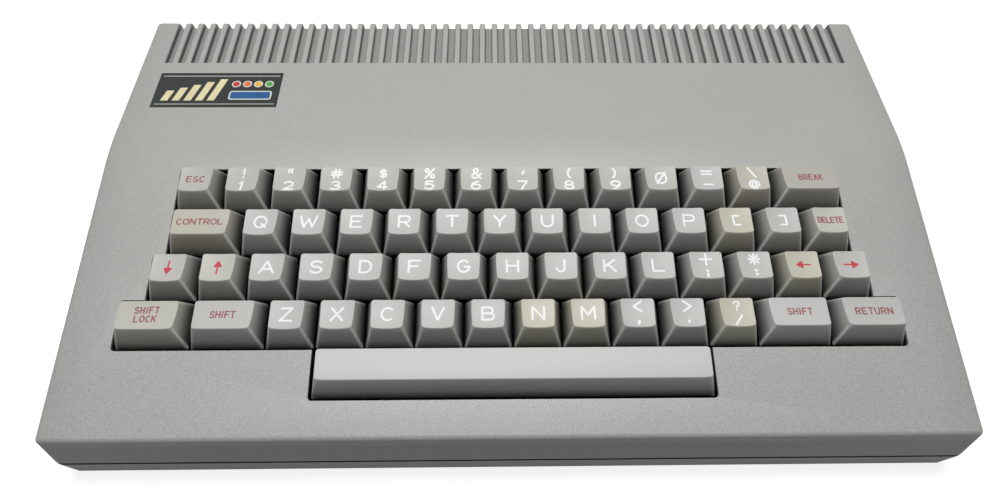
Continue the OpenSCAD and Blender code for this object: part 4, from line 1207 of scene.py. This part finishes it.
def legend_strokes(legend):
    kind, text = legend[0], legend[1]
    if kind == "letter":
        yield from lone_sign(text, LETTER_BOX)
    elif kind == "pair":
        yield from lone_sign(text[0], UPPER_BOX)
        yield from lone_sign(text[1], LOWER_BOX)
    elif kind == "word":
        yield from word_strokes(text, 0, WORD_Y, *legend[2:])
    elif kind == "lines":
        for line, cy, wide in text:
            yield from word_strokes(line, 0, cy, wide, *legend[2:])
    elif kind == "arrow":
        yield from glyph_strokes(text, *ARROW_BOX)


def letters(row, skin="grey"):
    return [("key_" + c, 1, ("letter", c.upper()), skin) for c in row]


def signs(kind, row, skin="grey"):
    """Number-row or punctuation caps: a pair of signs each, or one sign alone."""
    return [(kind + "_keys", 1, ("pair" if len(s) == 2 else "letter", s), skin) for s in row]


def word(node, units, text, wide, high, gap, skin):
    return [(node, units, ("word", text, wide, high, gap), skin)]


def cursor(way, skin="grey"):
    return [("key_cursor_" + way, 1, ("arrow", way), skin)]


# Each row from the rear: its left end in key widths, and its keys' nodes, widths, legends, skins
ROWS = [
    (-7.25, word("key_escape", 1, "ESC", 7.0, 2.6, 0.85, "dull")
     + signs("number", ("!1", "\"2", "#3", "$4", "%5", "&6", "'7", "(8", ")9", "0"), "dull")
     + signs("number", ("=-",)) + signs("number", ("\\@",), "beige")
     + word("key_break", 1.5, "BREAK", 9.6, 2.5, 0.75, "worn")),
    (-7.25, word("key_control", 1.5, "CONTROL", 18.2, 2.4, 0.8, "beige") + letters("qwertyuiop")
     + signs("punctuation", "[", "aged") + signs("punctuation", "]")
     + word("key_delete", 1, "DELETE", 9.8, 2.5, 0.55, "faint")),
    (-7.5, cursor("down") + cursor("up", "faint") + letters("asdfghjkl")
     + signs("punctuation", ("+;", "*:")) + cursor("left", "aged") + cursor("right")),
    (-8, [("key_shift_lock", 1.5,
           ("lines", (("SHIFT", 2.0, 8.9), ("LOCK", -1.5, 8.1)), 2.4, 0.8), "faint")]
     + word("key_shift_left", 1.5, "SHIFT", 9.2, 2.5, 0.75, "grey")
     + letters("zxcvb") + letters("nm", "aged")
     + signs("punctuation", ("<,", ">.")) + signs("punctuation", ("?/",), "aged")
     + word("key_shift_right", 1.5, "SHIFT", 9.2, 2.5, 0.75, "bar")
     + word("key_return", 1.5, "RETURN", 14, 2.5, 0.85, "grey")),
    (-4, [("space_bar", 8, None, "bar")]),
]
YELLOWED_KEYS = ("key_control", "key_n", "key_m")
LEGEND_STYLES = {
    "letter": (STROKE, white_ink), "pair": (STROKE, white_ink), "word": (WORD_STROKE, red_ink),
    "lines": (WORD_STROKE, red_ink), "arrow": (ARROW_STROKE, bright_red_ink)}


def make_keys():
    caps = {units: keycap(units) for units in (1, 1.5, 8)}
    stem = plunger()
    bank = {}
    for row, (start, keys) in enumerate(ROWS):
        left = start
        for node, units, legend, skin in keys:
            template, shape = caps[units]
            x = (left + units / 2) * PITCH
            left += units
            s = FRONT_MARGIN + (ROW_COUNT - row - 0.5) * PITCH
            count = bank[node] = bank.get(node, 0) + 1
            name = node.replace("_keys", "_cap") + (f"_{count:02d}" if "_keys" in node else "_cap")
            cap = copy_of(template, name)
            cap.data.materials.append(KEY_SKINS[skin])
            stick = copy_of(stem, name + "_plunger")
            stick.data.materials.append(plunger_nylon)
            parts = [stick]
            if legend:
                width, ink = LEGEND_STYLES[legend[0]]
                marks = legend_mesh(legend_strokes(legend), width, shape, name + "_legend")
                marks.data.materials.append(ink)
                parts.append(marks)
            join(cap, parts)
            settle(cap, DECK @ Matrix.Translation((x * MM, s * MM, 0)))
            slot = "key_plastic_yellowed" if node in YELLOWED_KEYS else "key_plastic"
            finished(cap, node, slot, [node])
    for template, _ in caps.values():
        bpy.data.objects.remove(template)
    bpy.data.objects.remove(stem)


# ---- The carried-over CAD nodes ----


def dress_nodes():
    """Gives every CAD node that still shows the finish of the real piece."""
    zinc = brushed_metal("screw_steel_zinc_plated", "#B9BBBD", 0.34, (1, 1, 1), 2)
    finishes = {
        "rubber_feet": soft_rubber("foot_rubber_moulded", "#232324"),
        "case_screws": zinc,
        "board_screws": zinc,
        # Blackened steel, made near-black as painted shade for the gaps between the keys
        "keyboard_frame": moulded_dark("frame_steel_blackened_painted_shade", "#0C0C0D", 0.8, 1.2,
                                       "#171718", 0.1),
        "key_switches": moulded_dark("switch_nylon_moulded", "#1B1D1F", 0.5),
        "keyboard_board": green_laminate("keyboard_board_laminate"),
        "space_bar_wire": brushed_metal("wire_spring_steel_drawn", "#B4B8BA", 0.28, (1, 60, 60), 4),
        "main_board": green_laminate("main_board_laminate"),
        "board_chips": moulded_dark("chip_epoxy_moulded", "#17181A", 0.55),
        "board_components": coloured_sleeve("component_sleeve_vinyl"),
        "heatsink": brushed_metal("heatsink_aluminium_extruded", "#C3C6C8", 0.38, (1, 1, 30), 5),
        "loudspeaker": moulded_dark("speaker_steel_painted", "#26272A", 0.42, 1.5),
        "tv_modulator": brushed_metal("can_tinplate_pressed", "#C2C4C4", 0.3, (1, 1, 1), 9),
        "rear_sockets": moulded_dark("socket_nylon_moulded", "#1F2123", 0.45),
        "expansion_connector": moulded_abs("connector_polyester_moulded", "#B8A888",
                                           0.6, 0.02, 0.5),
        "ribbon_cable": striped_pvc("ribbon_cable_pvc"),
    }
    for node, material in finishes.items():
        shown = frame["nodes"][node]
        if shown.material_slots:
            for slot in shown.material_slots:
                slot.material = material
        else:
            shown.data.materials.append(material)


bpy.context.scene.view_settings.view_transform = "Standard"
make_camera()
make_floor()
make_world()
make_lamp()
make_case()
make_badge()
make_keys()
dress_nodes()
